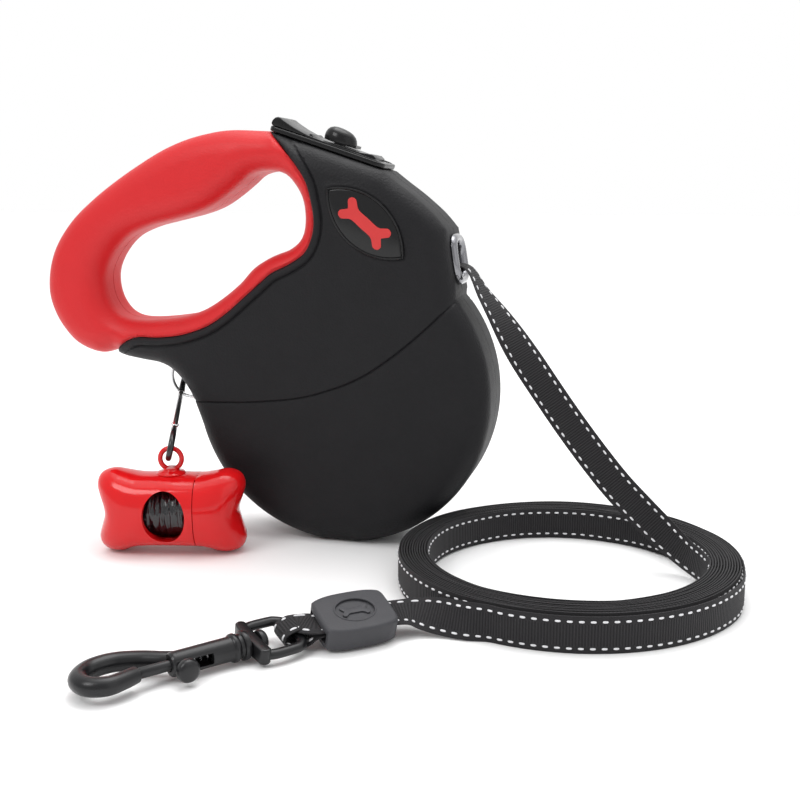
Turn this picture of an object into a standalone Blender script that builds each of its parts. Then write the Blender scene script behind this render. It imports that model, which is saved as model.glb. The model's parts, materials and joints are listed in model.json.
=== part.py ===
"""Retractable leash: casing, reel, brake, webbing, bolt snap and bag dispenser.

Run with:  blender --background --python part.py
Lengths below are in millimetres and are turned into metres when a mesh is made.
Frame: +X towards the tape outlet, +Y away from the viewer, +Z up, floor at Z = 0.
"""
import math

import bmesh
import bpy
from mathutils import Vector
from mathutils.geometry import delaunay_2d_cdt

MM = 0.001
GAP = 0.3                 # clearance kept between neighbouring pieces
AXIS_Y = Vector((0, 1, 0))

# ---- driving dimensions ---------------------------------------------------------
REEL_Z = 60.0             # height of the reel axis
LOBE_R = 60.4             # round lower casing
FOOT_HALF = 6.95          # half of the small flat under the casing
BODY_HALF_T = 19.0        # half thickness of the casing at the reel
GRIP_HALF_T = 13.5        # half thickness at the far end of the handle
EDGE_R = 8.0              # rounding of the casing's rim
WALL_T = 3.5              # casing wall over the reel
SEAM = 0.15               # half of the seam between black shell and red grip
OUTLINE_STEP = 8.0        # spacing of points along the casing's outline

TAPE_W = 12.0             # webbing width
TAPE_T = 1.0              # webbing thickness
COIL_CENTRE = Vector((93.0, -38.0, 0.0))
COIL_IN_R = 49.4
COIL_OUT_R = 61.4

# Handle opening, handle outside, shell outline: control points in X, Z.
OPENING = [(-28.7, 146.9), (-36, 145.6), (-41.5, 141.4), (-47.1, 137.2), (-54, 132.9), (-62.2, 129.8),
           (-73.1, 127.1), (-83.3, 124.5), (-91.9, 120.6), (-98, 114.7), (-102.1, 107.5), (-102.9, 101),
           (-101.3, 94.5), (-97.2, 89.3), (-91, 87), (-80.8, 87.1), (-68, 88.8), (-58.1, 91.7),
           (-49.7, 96.4), (-41.3, 102.9), (-35, 109.3), (-27.5, 113.8), (-19.5, 117), (-14.9, 121.4),
           (-13.4, 127.5), (-14, 134.8), (-16.5, 140.2), (-21.5, 145.4)]
GRIP_OUTSIDE = [(-98, 74.2), (-106.5, 72.3), (-116.4, 75.6), (-123.6, 83), (-127.7, 91.1), (-129.1, 99.2),
                (-127.7, 109), (-123.7, 118.3), (-116.2, 127.9), (-106.9, 135.8), (-97.7, 142.3),
                (-87.3, 148.7), (-75.6, 155), (-65.6, 158.9), (-55.8, 161.3), (-45, 162.6), (-28.3, 161.9)]
SEAM_LINE = [(-28.3, 161.9), (-21.9, 156.3), (-15.6, 149.2), (-11, 142), (-8.8, 134), (-8, 127.6),
             (-9, 121.5), (-12.3, 115.4), (-18.9, 111), (-25.6, 107.8), (-31, 103.3), (-37.9, 97.5),
             (-44.9, 91.6), (-53.3, 86.2), (-64.5, 82.3), (-75.8, 80.7), (-87.3, 80), (-98, 74.2)]
UNDERSIDE = [(-98, 74.2), (-95, 72), (-86, 70.6), (-77.5, 69.6), (-72, 67.4), (-67.5, 63.5),
             (-63.5, 58), (-60.6, 51), (-58.6, 45.2)]
SHOULDER = [(42.5, 125), (37.3, 130.9), (29.7, 137.5), (23, 142.5), (17.5, 146.8)]
OUTLET_LAND = [(46.3, 101.6), (42.5, 125)]
LOBE_ARC_DEG = (194.2, 400.3)
CAVITY_R = 56.0
CAVITY_DEG = (176, 404)
CAVITY_UPPER = [(41.0, 103), (38.6, 123), (32, 130.3), (21, 139), (11, 143.6), (-4.5, 147.6), (-4.2, 134),
                (-4, 127), (-5.6, 119.5), (-9.8, 112.7), (-17, 108.1), (-23.4, 104.7), (-28.6, 100.8),
                (-35.8, 94.6), (-42.6, 89), (-50.5, 83.2), (-55, 73)]
CORE_LINE = [(-16, 151.5), (-34, 154.3), (-55, 148.8), (-75, 141), (-95, 131), (-110, 117),
             (-115.8, 102), (-111.5, 87), (-102.5, 79.3), (-91, 75.6)]
CORE_HALF = 4.0
CORE_DEPTH = 9.0

# ---- mechanism ------------------------------------------------------------------
DRUM_R = 20.0
FLANGE_R = 48.0
RATCHET_TEETH = 20
RATCHET_PHASE = math.radians(4.0)      # puts a gap under the pawl at rest
RATCHET_TIP_R = 46.0
RATCHET_ROOT_R = 42.0
AXLE_R = 3.0
ROLLER = Vector((36.1, 0, 102.2))
PAWL_PIVOT = Vector((0.0, 0, 119.5))
PLUNGER_X = 9.0
SEAT_FRONT = Vector((17.5, 0, 146.8))
SEAT_REAR = Vector((-28.3, 0, 161.9))
OUTLET = Vector((44.4, 0, 113.3))
OUTLET_POWER = 3.0        # how full the oval of the outlet is
SCREWS = [(-80.0, 75.4), (-13.2, 151.6), (33.4, 124.2), (41.5, 26.2), (-43.0, 27.2)]

# ---- key ring, carabiner, dispenser ---------------------------------------------
POST = Vector((-69.0, 0, 68.4))
RING_R = 8.5
RING_WIRE_R = 0.75
BIN_TURN = math.radians(12)
BIN_HALF_T = 14.0

# ---- hook end -------------------------------------------------------------------
HOOK_O = Vector((5.2, -128.8, 5.0))            # centre of the swivel collar
HOOK_HEADING = math.radians(230)
SLEEVE_O = Vector((33.0, -106.5, 7.0))
SLEEVE_HEADING = math.radians(40)
SLEEVE_TILT = math.radians(17)
SLEEVE_LEN = 24.5
LOOP_HEADING = math.radians(225)
EYE_TILT = math.radians(10)
LOOP_TILT = math.radians(11)


# ---- materials and objects ------------------------------------------------------
def material(name, colour, roughness, metallic=0.0):
    mat = bpy.data.materials.get(name)
    if mat:
        return mat
    mat = bpy.data.materials.new(name)
    mat.use_nodes = True
    mat.diffuse_color = (*colour, 1)
    shader = mat.node_tree.nodes["Principled BSDF"]
    shader.inputs["Base Color"].default_value = (*colour, 1)
    shader.inputs["Roughness"].default_value = roughness
    shader.inputs["Metallic"].default_value = metallic
    return mat


BLACK_SHELL = ("shell", (0.022, 0.022, 0.024), 0.62)
RED_GRIP = ("grip", (0.62, 0.016, 0.018), 0.5)
BLACK_GLOSS = ("button", (0.012, 0.012, 0.013), 0.25)
BADGE = ("badge", (0.018, 0.017, 0.018), 0.3)
GREY_REEL = ("reel", (0.32, 0.32, 0.33), 0.5)
STEEL = ("steel", (0.6, 0.6, 0.61), 0.28, 1.0)
OUTLET_TRIM = ("outlet", (0.11, 0.11, 0.12), 0.25)
WEBBING = ("webbing", (0.028, 0.027, 0.028), 0.85)
SLEEVE_RUBBER = ("sleeve", (0.045, 0.045, 0.048), 0.6)
HOOK_METAL = ("hook", (0.03, 0.03, 0.033), 0.32)
CARABINER_METAL = ("carabiner", (0.012, 0.012, 0.013), 0.3)
GATE_METAL = ("gate", (0.72, 0.72, 0.73), 0.22, 1.0)
RED_GLOSS = ("dispenser", (0.75, 0.02, 0.02), 0.14)
BAG_FILM = ("bags", (0.01, 0.01, 0.011), 0.35)


def add_object(name, verts, faces, look, origin=None, parent=None, smooth_deg=35):
    """Make one object from points in mm; its own origin goes to `origin`."""
    origin = Vector(origin) if origin is not None else Vector((0, 0, 0))
    mesh = bpy.data.meshes.new(name)
    mesh.from_pydata([(Vector(v) - origin) * MM for v in verts], [], faces)
    mesh.validate()
    bm = bmesh.new()
    bm.from_mesh(mesh)
    bmesh.ops.remove_doubles(bm, verts=bm.verts, dist=1e-6)
    bmesh.ops.recalc_face_normals(bm, faces=bm.faces)
    bm.to_mesh(mesh)
    bm.free()
    mesh.shade_smooth()
    mesh.set_sharp_from_angle(angle=math.radians(smooth_deg))
    if look:
        mesh.materials.append(material(*look))
    obj = bpy.data.objects.new(name, mesh)
    bpy.context.collection.objects.link(obj)
    obj.location = origin * MM
    if parent is not None:
        bpy.context.view_layer.update()
        obj.parent = parent
        obj.matrix_parent_inverse = parent.matrix_world.inverted()
    return obj


def pivot(name, place, parent=None):
    """An empty on a joint's axis that the moving pieces hang from."""
    empty = bpy.data.objects.new(name, None)
    empty.empty_display_size = 0.005
    bpy.context.collection.objects.link(empty)
    empty.location = Vector(place) * MM
    if parent is not None:
        bpy.context.view_layer.update()
        empty.parent = parent
        empty.matrix_parent_inverse = parent.matrix_world.inverted()
    bpy.context.view_layer.update()
    return empty


def combine(target, operation, shape):
    """Cut or join a (vertices, faces) shape, kept as a hidden wire guide."""
    guide = add_object(f"{target.name}_{operation.lower()}_{len(target.modifiers)}", *shape, None)
    guide.hide_render = True
    guide.display_type = "WIRE"
    step = target.modifiers.new(guide.name, "BOOLEAN")
    step.operation = operation
    step.object = guide
    step.solver = "EXACT"


def cut(target, *shapes):
    for shape in shapes:
        combine(target, "DIFFERENCE", shape)


def join(target, *shapes):
    for shape in shapes:
        combine(target, "UNION", shape)


# ---- outlines in a plane --------------------------------------------------------
def smooth_line(points, step, closed=False):
    """Catmull-Rom curve through the points, sampled about every `step` mm."""
    pts = [Vector(p) for p in points]
    count = len(pts)
    spans = count if closed else count - 1
    result = []
    for i in range(spans):
        p1 = pts[i]
        p2 = pts[(i + 1) % count]
        p0 = pts[i - 1] if (closed or i > 0) else p1 * 2 - p2
        p3 = pts[(i + 2) % count] if (closed or i + 2 < count) else p2 * 2 - p1
        parts = max(1, round((p2 - p1).length / step))
        for k in range(parts):
            t = k / parts
            result.append(0.5 * (2 * p1 + (p2 - p0) * t + (2 * p0 - 5 * p1 + 4 * p2 - p3) * t ** 2
                                 + (3 * p1 - p0 - 3 * p2 + p3) * t ** 3))
    if not closed:
        result.append(pts[-1])
    return result


def arc(centre, radius, start_deg, end_deg, step):
    parts = max(3, round(abs(math.radians(end_deg - start_deg)) * radius / step))
    angles = [math.radians(start_deg + (end_deg - start_deg) * i / parts) for i in range(parts + 1)]
    return [Vector((centre[0] + radius * math.cos(a), centre[1] + radius * math.sin(a))) for a in angles]


def shifted(line, distance):
    """Open line moved sideways, to the left of its direction."""
    moved = []
    for i, point in enumerate(line):
        along = (line[min(i + 1, len(line) - 1)] - line[max(i - 1, 0)]).normalized()
        moved.append(point + Vector((-along.y, along.x)) * distance)
    return moved


def distance_to(point, line, closed):
    best = 1e9
    count = len(line)
    for i in range(count if closed else count - 1):
        a = line[i]
        ab = line[(i + 1) % count] - a
        t = max(0.0, min(1.0, (point - a).dot(ab) / max(ab.length_squared, 1e-9)))
        best = min(best, (point - a - ab * t).length)
    return best


def inside(point, polygon):
    hit = False
    for i, a in enumerate(polygon):
        b = polygon[i - 1]
        if (a.y > point.y) != (b.y > point.y):
            hit ^= point.x < (b.x - a.x) * (point.y - a.y) / (b.y - a.y) + a.x
    return hit


def triangulate(loops, extra=()):
    """Fill the first loop less the others; returns points and triangles."""
    points = [p for loop in loops for p in loop]
    edges = []
    start = 0
    for loop in loops:
        edges += [(start + i, start + (i + 1) % len(loop)) for i in range(len(loop))]
        start += len(loop)
    out, _, tris, *_ = delaunay_2d_cdt(points + list(extra), edges, [], 0, 1e-6)
    kept = []
    for tri in tris:
        middle = (out[tri[0]] + out[tri[1]] + out[tri[2]]) / 3
        if inside(middle, loops[0]) and not any(inside(middle, hole) for hole in loops[1:]):
            kept.append(tuple(tri))
    return out, kept


def half_thickness(point):
    """Half thickness of the casing, thinner from the reel towards the handle."""
    t = min(1.0, max(0.0, ((point - Vector((5, 78))).length - 55) / 65))
    return BODY_HALF_T + (GRIP_HALF_T - BODY_HALF_T) * t * t * (3 - 2 * t)


def rounded_half(loops, free_lines, side, part_y, thickness, edge_r):
    """Half a moulding: flat at part_y, rounded along the free lines on its face."""
    rings = []
    for depth in (edge_r * 0.12, edge_r * 0.42, edge_r):
        for line, closed in free_lines:
            for i, point in enumerate(line):
                before = line[i - 1] if closed or i else line[0]
                after = line[(i + 1) % len(line)] if closed or i + 1 < len(line) else line[-1]
                along = (after - before).normalized()
                for sign in (1, -1):
                    spot = point + Vector((-along.y, along.x)) * depth * sign
                    if not inside(spot, loops[0]) or any(inside(spot, hole) for hole in loops[1:]):
                        continue
                    if min(distance_to(spot, other, c) for other, c in free_lines) < depth - 0.02:
                        continue
                    if min(distance_to(spot, loop, True) for loop in loops) > min(depth, 1.2) - 0.02:
                        rings.append(spot)
    flat, tris = triangulate(loops, rings)
    rim = sum(len(loop) for loop in loops)

    def height(point):
        depth = min(min(distance_to(point, line, closed) for line, closed in free_lines), edge_r)
        return thickness(point) - edge_r + math.sqrt(max(0.0, edge_r ** 2 - (edge_r - depth) ** 2))

    verts = [(p.x, side * height(p), p.y) for p in flat]
    verts += [(p.x, part_y, p.y) for p in flat[:rim]]
    base = len(flat)
    faces = list(tris)
    start = 0
    for loop in loops:
        size = len(loop)
        for i in range(size):
            j = (i + 1) % size
            faces.append((start + i, start + j, base + start + j, base + start + i))
        start += size
    _, cap = triangulate(loops)
    faces += [tuple(base + i for i in reversed(tri)) for tri in cap]
    return verts, faces


# ---- basic solids ---------------------------------------------------------------
def prism(loops, place, low, high):
    """Extrude outlines from low to high; place(u, v, h) gives the point in space."""
    flat, tris = triangulate(loops) if len(loops) > 1 else (loops[0], None)
    count = len(flat)
    verts = [place(p[0], p[1], low) for p in flat] + [place(p[0], p[1], high) for p in flat]
    if tris is None:
        faces = [tuple(range(count))[::-1], tuple(range(count, 2 * count))]
    else:
        faces = [tuple(reversed(t)) for t in tris] + [tuple(i + count for i in t) for t in tris]
    start = 0
    for loop in loops:
        size = len(loop)
        for i in range(size):
            j = start + (i + 1) % size
            faces.append((start + i, j, count + j, count + start + i))
        start += size
    return verts, faces


def across(u, v, h):
    """Outline in X and Z, extruded along Y."""
    return Vector((u, h, v))


def slab(outline, low, high):
    return prism([[Vector(p) for p in outline]], across, low, high)


def circle(radius, sides, centre=(0, 0), turn=0.0):
    return [Vector((centre[0] + radius * math.cos(turn + math.tau * i / sides),
                    centre[1] + radius * math.sin(turn + math.tau * i / sides))) for i in range(sides)]


def rod(start, end, radius, sides=16):
    start = Vector(start)
    end = Vector(end)
    turn = (end - start).to_track_quat("Z", "Y")
    return prism([circle(radius, sides)], lambda u, v, h: start + turn @ Vector((u, v, h)), 0,
                 (end - start).length)


def turned(profile, centre, axis, sides=32):
    """Turn a closed profile of (radius, height) about an axis."""
    centre = Vector(centre)
    turn = Vector(axis).to_track_quat("Z", "Y")
    verts = []
    for i in range(sides):
        a = math.tau * i / sides
        verts += [centre + turn @ Vector((r * math.cos(a), r * math.sin(a), h)) for r, h in profile]
    count = len(profile)
    faces = []
    for i in range(sides):
        j = (i + 1) % sides
        for k in range(count):
            m = (k + 1) % count
            faces.append((i * count + k, j * count + k, j * count + m, i * count + m))
    return verts, faces


def knob(profile, centre, axis, sides=20):
    """Turn an open profile that starts and ends on the axis."""
    centre = Vector(centre)
    turn = Vector(axis).to_track_quat("Z", "Y")
    ring = profile[1:-1]
    verts = [centre + turn @ Vector((0, 0, profile[0][1])), centre + turn @ Vector((0, 0, profile[-1][1]))]
    for i in range(sides):
        a = math.tau * i / sides
        verts += [centre + turn @ Vector((r * math.cos(a), r * math.sin(a), h)) for r, h in ring]
    count = len(ring)
    faces = []
    for i in range(sides):
        here = 2 + i * count
        there = 2 + ((i + 1) % sides) * count
        faces.append((0, there, here))
        faces.append((1, here + count - 1, there + count - 1))
        for k in range(count - 1):
            faces.append((here + k, there + k, there + k + 1, here + k + 1))
    return verts, faces


def block(place, low, high):
    """A box between two corners in the frame that place(u, v, h) gives."""
    corners = [(low[0], low[1]), (high[0], low[1]), (high[0], high[1]), (low[0], high[1])]
    return prism([[Vector(c) for c in corners]], place, low[2], high[2])


def sweep(path, section, closed=False, start_up=Vector((0, 0, 1)), scale=None):
    """Sweep a section, a list of (side, up) points, along a path without twist."""
    count = len(path)
    verts = []
    up = Vector(start_up)
    for i, point in enumerate(path):
        before = path[i - 1] if closed or i else path[0]
        after = path[(i + 1) % count] if closed or i + 1 < count else path[-1]
        along = (after - before).normalized()
        up = (up - along * up.dot(along)).normalized()
        side = along.cross(up)
        size = scale(i / (count - 1)) if scale else 1.0
        verts += [point + side * s * size + up * u * size for s, u in section]
    return verts, tube_faces(count, len(section), closed)


def tube_faces(rings, sides, closed):
    faces = []
    for i in range(rings if closed else rings - 1):
        a = i * sides
        b = ((i + 1) % rings) * sides
        for k in range(sides):
            m = (k + 1) % sides
            faces.append((a + k, a + m, b + m, b + k))
    if not closed:
        faces.append(tuple(range(sides))[::-1])
        faces.append(tuple(range((rings - 1) * sides, rings * sides)))
    return faces


def ribbon(path, across_of, width, thickness, narrowing=None):
    """Flat webbing along a path; across_of(t) is the width direction at t in 0..1."""
    count = len(path)
    verts = []
    for i, point in enumerate(path):
        along = (path[min(i + 1, count - 1)] - path[max(i - 1, 0)]).normalized()
        wide = across_of(i / (count - 1))
        share = narrowing(i / (count - 1)) if narrowing else 1.0
        wide = (wide - along * wide.dot(along)).normalized() * width / 2 * share
        thick = along.cross(wide).normalized() * thickness / 2
        verts += [point + wide + thick, point - wide + thick, point - wide - thick, point + wide - thick]
    return verts, tube_faces(count, 4, False)


# ---- casing ---------------------------------------------------------------------
def lobe_outline(step):
    """Round lower casing with its small flat foot at the bottom."""
    half = math.degrees(math.asin(FOOT_HALF / LOBE_R))
    centre = (0, REEL_Z)
    left = arc(centre, LOBE_R, LOBE_ARC_DEG[0], 270 - half, step)
    right = arc(centre, LOBE_R, 270 + half, LOBE_ARC_DEG[1], step)
    left[-1] = Vector((-FOOT_HALF, 0))
    right[0] = Vector((FOOT_HALF, 0))
    return left + right


def body_outline(step):
    """Black shell: free edge (open line) and the seam towards the grip."""
    free = smooth_line([Vector(p) for p in UNDERSIDE], step)[:-1] + lobe_outline(step)
    free += smooth_line([Vector(p) for p in OUTLET_LAND], step)[:-1]
    free += smooth_line([Vector(p) for p in SHOULDER], step)
    free += [Vector((SEAT_FRONT.x + (SEAT_REAR.x - SEAT_FRONT.x) * t, SEAT_FRONT.z
                     + (SEAT_REAR.z - SEAT_FRONT.z) * t)) for t in (0.25, 0.5, 0.75, 1)]
    seam = smooth_line([Vector(p) for p in SEAM_LINE], step)
    return free, seam


def shell_loop(step):
    free, seam = body_outline(step)
    inner = shifted(seam, SEAM)[1:-1]
    free = [free[0] + Vector((0.6, 0.05))] + free[1:-1] + [free[-1] + Vector((0.4, -0.2))]
    return free + inner, free


def grip_loops(step):
    outside = smooth_line([Vector(p) for p in GRIP_OUTSIDE], step)
    seam = shifted(smooth_line([Vector(p) for p in SEAM_LINE], step), -SEAM)[1:-1]
    opening = smooth_line([Vector(p) for p in OPENING], step, closed=True)
    return outside + seam, outside, opening


def core_shape(extra, depth_low, depth_high, end_extra=0.0):
    """C-shaped bar inside the grip that belongs to the shell."""
    line = smooth_line([Vector(p) for p in CORE_LINE], 9)
    line[0] = line[0] + (line[0] - line[1]).normalized() * end_extra
    line[-1] = line[-1] + (line[-1] - line[-2]).normalized() * end_extra
    left = shifted(line, CORE_HALF + extra)
    right = shifted(line, -CORE_HALF - extra)
    return slab(left + right[::-1], depth_low, depth_high)


def cavity_shape(low, high):
    outline = arc((0, REEL_Z), CAVITY_R, CAVITY_DEG[0], CAVITY_DEG[1], 8)
    outline += [Vector(p) for p in CAVITY_UPPER]
    return slab(outline, low, high)


def seat_place():
    """Local frame of the top seat: along it, across it (Y), and out of it."""
    along = (SEAT_FRONT - SEAT_REAR).normalized()
    out = Vector((-along.z, 0, along.x))
    middle = (SEAT_FRONT + SEAT_REAR) / 2
    return middle, along, out


SEAT_MIDDLE, SEAT_ALONG, SEAT_OUT = seat_place()


def on_seat(s, h, y):
    return SEAT_MIDDLE + SEAT_ALONG * s + SEAT_OUT * h + AXIS_Y * y


OUTLET_UP = Vector((OUTLET_LAND[1][0] - OUTLET_LAND[0][0], 0, OUTLET_LAND[1][1] - OUTLET_LAND[0][1])).normalized()
OUTLET_OUT = Vector((OUTLET_UP.z, 0, -OUTLET_UP.x))


def at_outlet(y, u, h):
    return OUTLET + AXIS_Y * y + OUTLET_UP * u + OUTLET_OUT * h


def oval(half_a, half_b, sides=28, power=2.0):
    """Ellipse, or a fuller rounded shape with a power above 2."""
    points = []
    for i in range(sides):
        c = math.cos(math.tau * i / sides)
        s = math.sin(math.tau * i / sides)
        points.append(Vector((half_a * math.copysign(abs(c) ** (2 / power), c),
                              half_b * math.copysign(abs(s) ** (2 / power), s))))
    return points


def casing_half(name, side):
    """One shell half with its cavity, bosses, bores and pockets. side is -1 front, 1 back."""
    part_y = GAP if side < 0 else 2 * GAP
    loop, free = shell_loop(OUTLINE_STEP)
    shell = add_object(name, *rounded_half([loop], [(free, False)], side, part_y, half_thickness, EDGE_R),
                       BLACK_SHELL)
    join(shell, core_shape(0, *sorted((part_y, side * CORE_DEPTH))))
    inner = side * (BODY_HALF_T - WALL_T)
    cut(shell, cavity_shape(*sorted((inner, part_y - side * 5))))
    # screw towers on the cavity wall, with plain holes through them
    for x, z in SCREWS[2:]:
        join(shell, rod((x, inner + side, z), (x, part_y, z), 3.6, 12))
    bosses = [(ROLLER, 3.0, 7.6)]
    if side < 0:
        bosses.append((PAWL_PIVOT, 3.4, 12.6))
    for centre, radius, tip in bosses:
        join(shell, rod((centre.x, inner + side, centre.z), (centre.x, side * tip, centre.z), radius, 12))
    holes = [(Vector((0, 0, REEL_Z)), AXLE_R + GAP, 17.5), (ROLLER, 1.2 + GAP, 14.0), (POST, 1.5 + GAP, 10.6)]
    if side < 0:
        holes.append((PAWL_PIVOT, 1.5 + GAP, 16.5))
    for centre, radius, depth in holes:
        cut(shell, rod((centre.x, side * depth, centre.z), (centre.x, part_y - side * 4, centre.z), radius, 14))
    for x, z in SCREWS:
        if side > 0:
            cut(shell, rod((x, -1, z), (x, 25, z), 1.5, 12), rod((x, 14.5, z), (x, 25, z), 3.1, 14))
        else:
            cut(shell, rod((x, 4, z), (x, -10, z), 1.5, 12))
    # tape outlet, button pocket and key ring slot straddle the parting plane
    cut(shell, prism([oval(8.6 + GAP, 8.0 + GAP, 28, OUTLET_POWER)], at_outlet, -9, 6))
    cut(shell, block(on_seat, (-9.6, -4.6, -9.0), (19.8, 6, 9.0)))
    cut(shell, rod(on_seat(16.3, -12, 0), on_seat(16.3, 0, 0), 3.4))
    cut(shell, rod(RING_CENTRE - AXIS_Y * 1.8, RING_CENTRE + AXIS_Y * 1.8, RING_R + 2.1, 28))
    return shell


def grip_half(name, side):
    part_y = 0.0 if side < 0 else GAP
    loop, outside, opening = grip_loops(OUTLINE_STEP)
    free = [(outside, False), (opening, True)]
    grip = add_object(name, *rounded_half([loop, opening], free, side, part_y, half_thickness, EDGE_R + 1.5),
                      RED_GRIP)
    pocket = sorted((part_y - side * 4, side * (CORE_DEPTH + GAP)))
    cut(grip, core_shape(GAP, *pocket, end_extra=4))
    return grip


def badge(name, side):
    """Pointed oval badge in a shallow recess of the shell's flat face."""
    middle = Vector((12.9, 127.2))
    half_long = 19.0
    half_short = 9.2
    tilt = math.radians(-41)
    radius = (half_long ** 2 + half_short ** 2) / (2 * half_short)
    reach = math.asin(half_long / radius)
    outline = []
    for sign in (1, -1):
        for i in range(9):
            a = sign * reach * (1 - 2 * i / 9)
            u = radius * math.sin(a) * -1
            v = sign * (radius * math.cos(a) - radius + half_short)
            outline.append(Vector((u * math.cos(tilt) - v * math.sin(tilt), u * math.sin(tilt)
                                   + v * math.cos(tilt))) + middle)
    face = side * BODY_HALF_T
    low, high = sorted((face + side * GAP, face + side * 1.3))
    return add_object(name, *slab(outline, low, high), BADGE)


def make_casing():
    casing_half("shell_front", -1)
    casing_half("shell_back", 1)
    grip_half("grip_front", -1)
    grip_half("grip_back", 1)
    badge("badge_front", -1)
    badge("badge_back", 1)
    for number, (x, z) in enumerate(SCREWS, 1):
        profile = [(0, -9.0), (1.2, -9.0), (1.2, 14.9), (2.7, 14.9), (2.7, 16.2), (2.0, 16.9), (0, 16.9)]
        if number == 1:
            profile = [(r, min(h, 16.0) if h > 15 else h) for r, h in profile[:-1]] + [(0, 16.4)]
        add_object(f"casing_screw_{number}", *knob(profile, (x, 0, z), AXIS_Y, 12), STEEL)
    # eyelet: sleeve through both shells with a rounded flange outside
    section = [(0, -5.0), (0, 0.8), (0.8, 2.0), (2.0, 2.3), (3.3, 1.7), (3.6, GAP), (1.8, GAP), (1.8, -5.0)]
    sides = 28
    rings = [[at_outlet(p.x, p.y, h) for p in oval(6.8 + off, 6.2 + off, sides, OUTLET_POWER)]
             for off, h in section]
    verts = [point for ring in rings for point in ring]
    faces = tube_faces(len(section), sides, True)
    add_object("outlet_eyelet", verts, faces, OUTLET_TRIM)
    add_object("key_ring_post", *rod((POST.x, -10.2, POST.z), (POST.x, 10.2, POST.z), 1.5), STEEL)


# ---- reel -----------------------------------------------------------------------
def ratchet_outline():
    points = []
    for i in range(RATCHET_TEETH):
        for part, radius in ((0.0, RATCHET_ROOT_R), (0.42, RATCHET_ROOT_R), (0.5, RATCHET_TIP_R),
                             (0.78, RATCHET_TIP_R)):
            a = RATCHET_PHASE + math.tau * (i + part) / RATCHET_TEETH
            points.append(Vector((radius * math.cos(a), REEL_Z + radius * math.sin(a))))
    return points


def spiral(inner, outer, turns, per_turn):
    count = turns * per_turn
    return [Vector(((inner + (outer - inner) * i / count) * math.cos(math.tau * i / per_turn), 0,
                    (inner + (outer - inner) * i / count) * math.sin(math.tau * i / per_turn)))
            for i in range(count + 1)]


def make_reel():
    centre = Vector((0, 0, REEL_Z))
    hub = pivot("reel_pivot", centre)
    bore = AXLE_R + GAP
    drum = add_object("reel_drum", *turned(
        [(bore, -8.4), (FLANGE_R, -8.4), (FLANGE_R, -7.0), (DRUM_R, -7.0), (DRUM_R, 7.0), (18, 7.0),
         (18, -5.5), (6.5, -5.5), (6.5, 7.0), (bore, 7.0)], centre, AXIS_Y, 32), GREY_REEL, centre, hub)
    ring = [ratchet_outline(), circle(36, 24, (0, REEL_Z))]
    join(drum, prism(ring, across, -11.8, -7.7))
    add_object("reel_spring_case", *turned(
        [(7, 7.3), (FLANGE_R, 7.3), (FLANGE_R, 8.4), (32, 8.4), (32, 13.9), (30.4, 13.9), (30.4, 8.4),
         (7, 8.4)], centre, AXIS_Y, 32), GREY_REEL, centre, hub)
    add_object("spring_cover", *turned([(7, 14.2), (32, 14.2), (32, 15.0), (7, 15.0)], centre, AXIS_Y),
               GREY_REEL, centre, hub)
    coil = [p + centre + AXIS_Y * 11.3 for p in spiral(7.5, 29.4, 5, 14)]
    add_object("power_spring", *ribbon(coil, lambda t: AXIS_Y, 4.6, 0.6), STEEL, centre, hub)
    add_object("tape_on_reel", *turned(
        [(DRUM_R + GAP, -6), (24.4, -6), (24.4, 6), (DRUM_R + GAP, 6)], centre, AXIS_Y), WEBBING, centre, hub)
    add_object("reel_axle", *rod((0, -17.2, REEL_Z), (0, 17.2, REEL_Z), AXLE_R, 20), STEEL)
    add_object("guide_roller", *turned([(1.5, -7), (3.5, -7), (3.2, 0), (3.5, 7), (1.5, 7)], ROLLER, AXIS_Y, 20),
               GREY_REEL, ROLLER, pivot("roller_pivot", ROLLER))
    add_object("roller_pin", *rod(ROLLER - AXIS_Y * 13.6, ROLLER + AXIS_Y * 13.6, 1.2, 12), STEEL)


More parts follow.
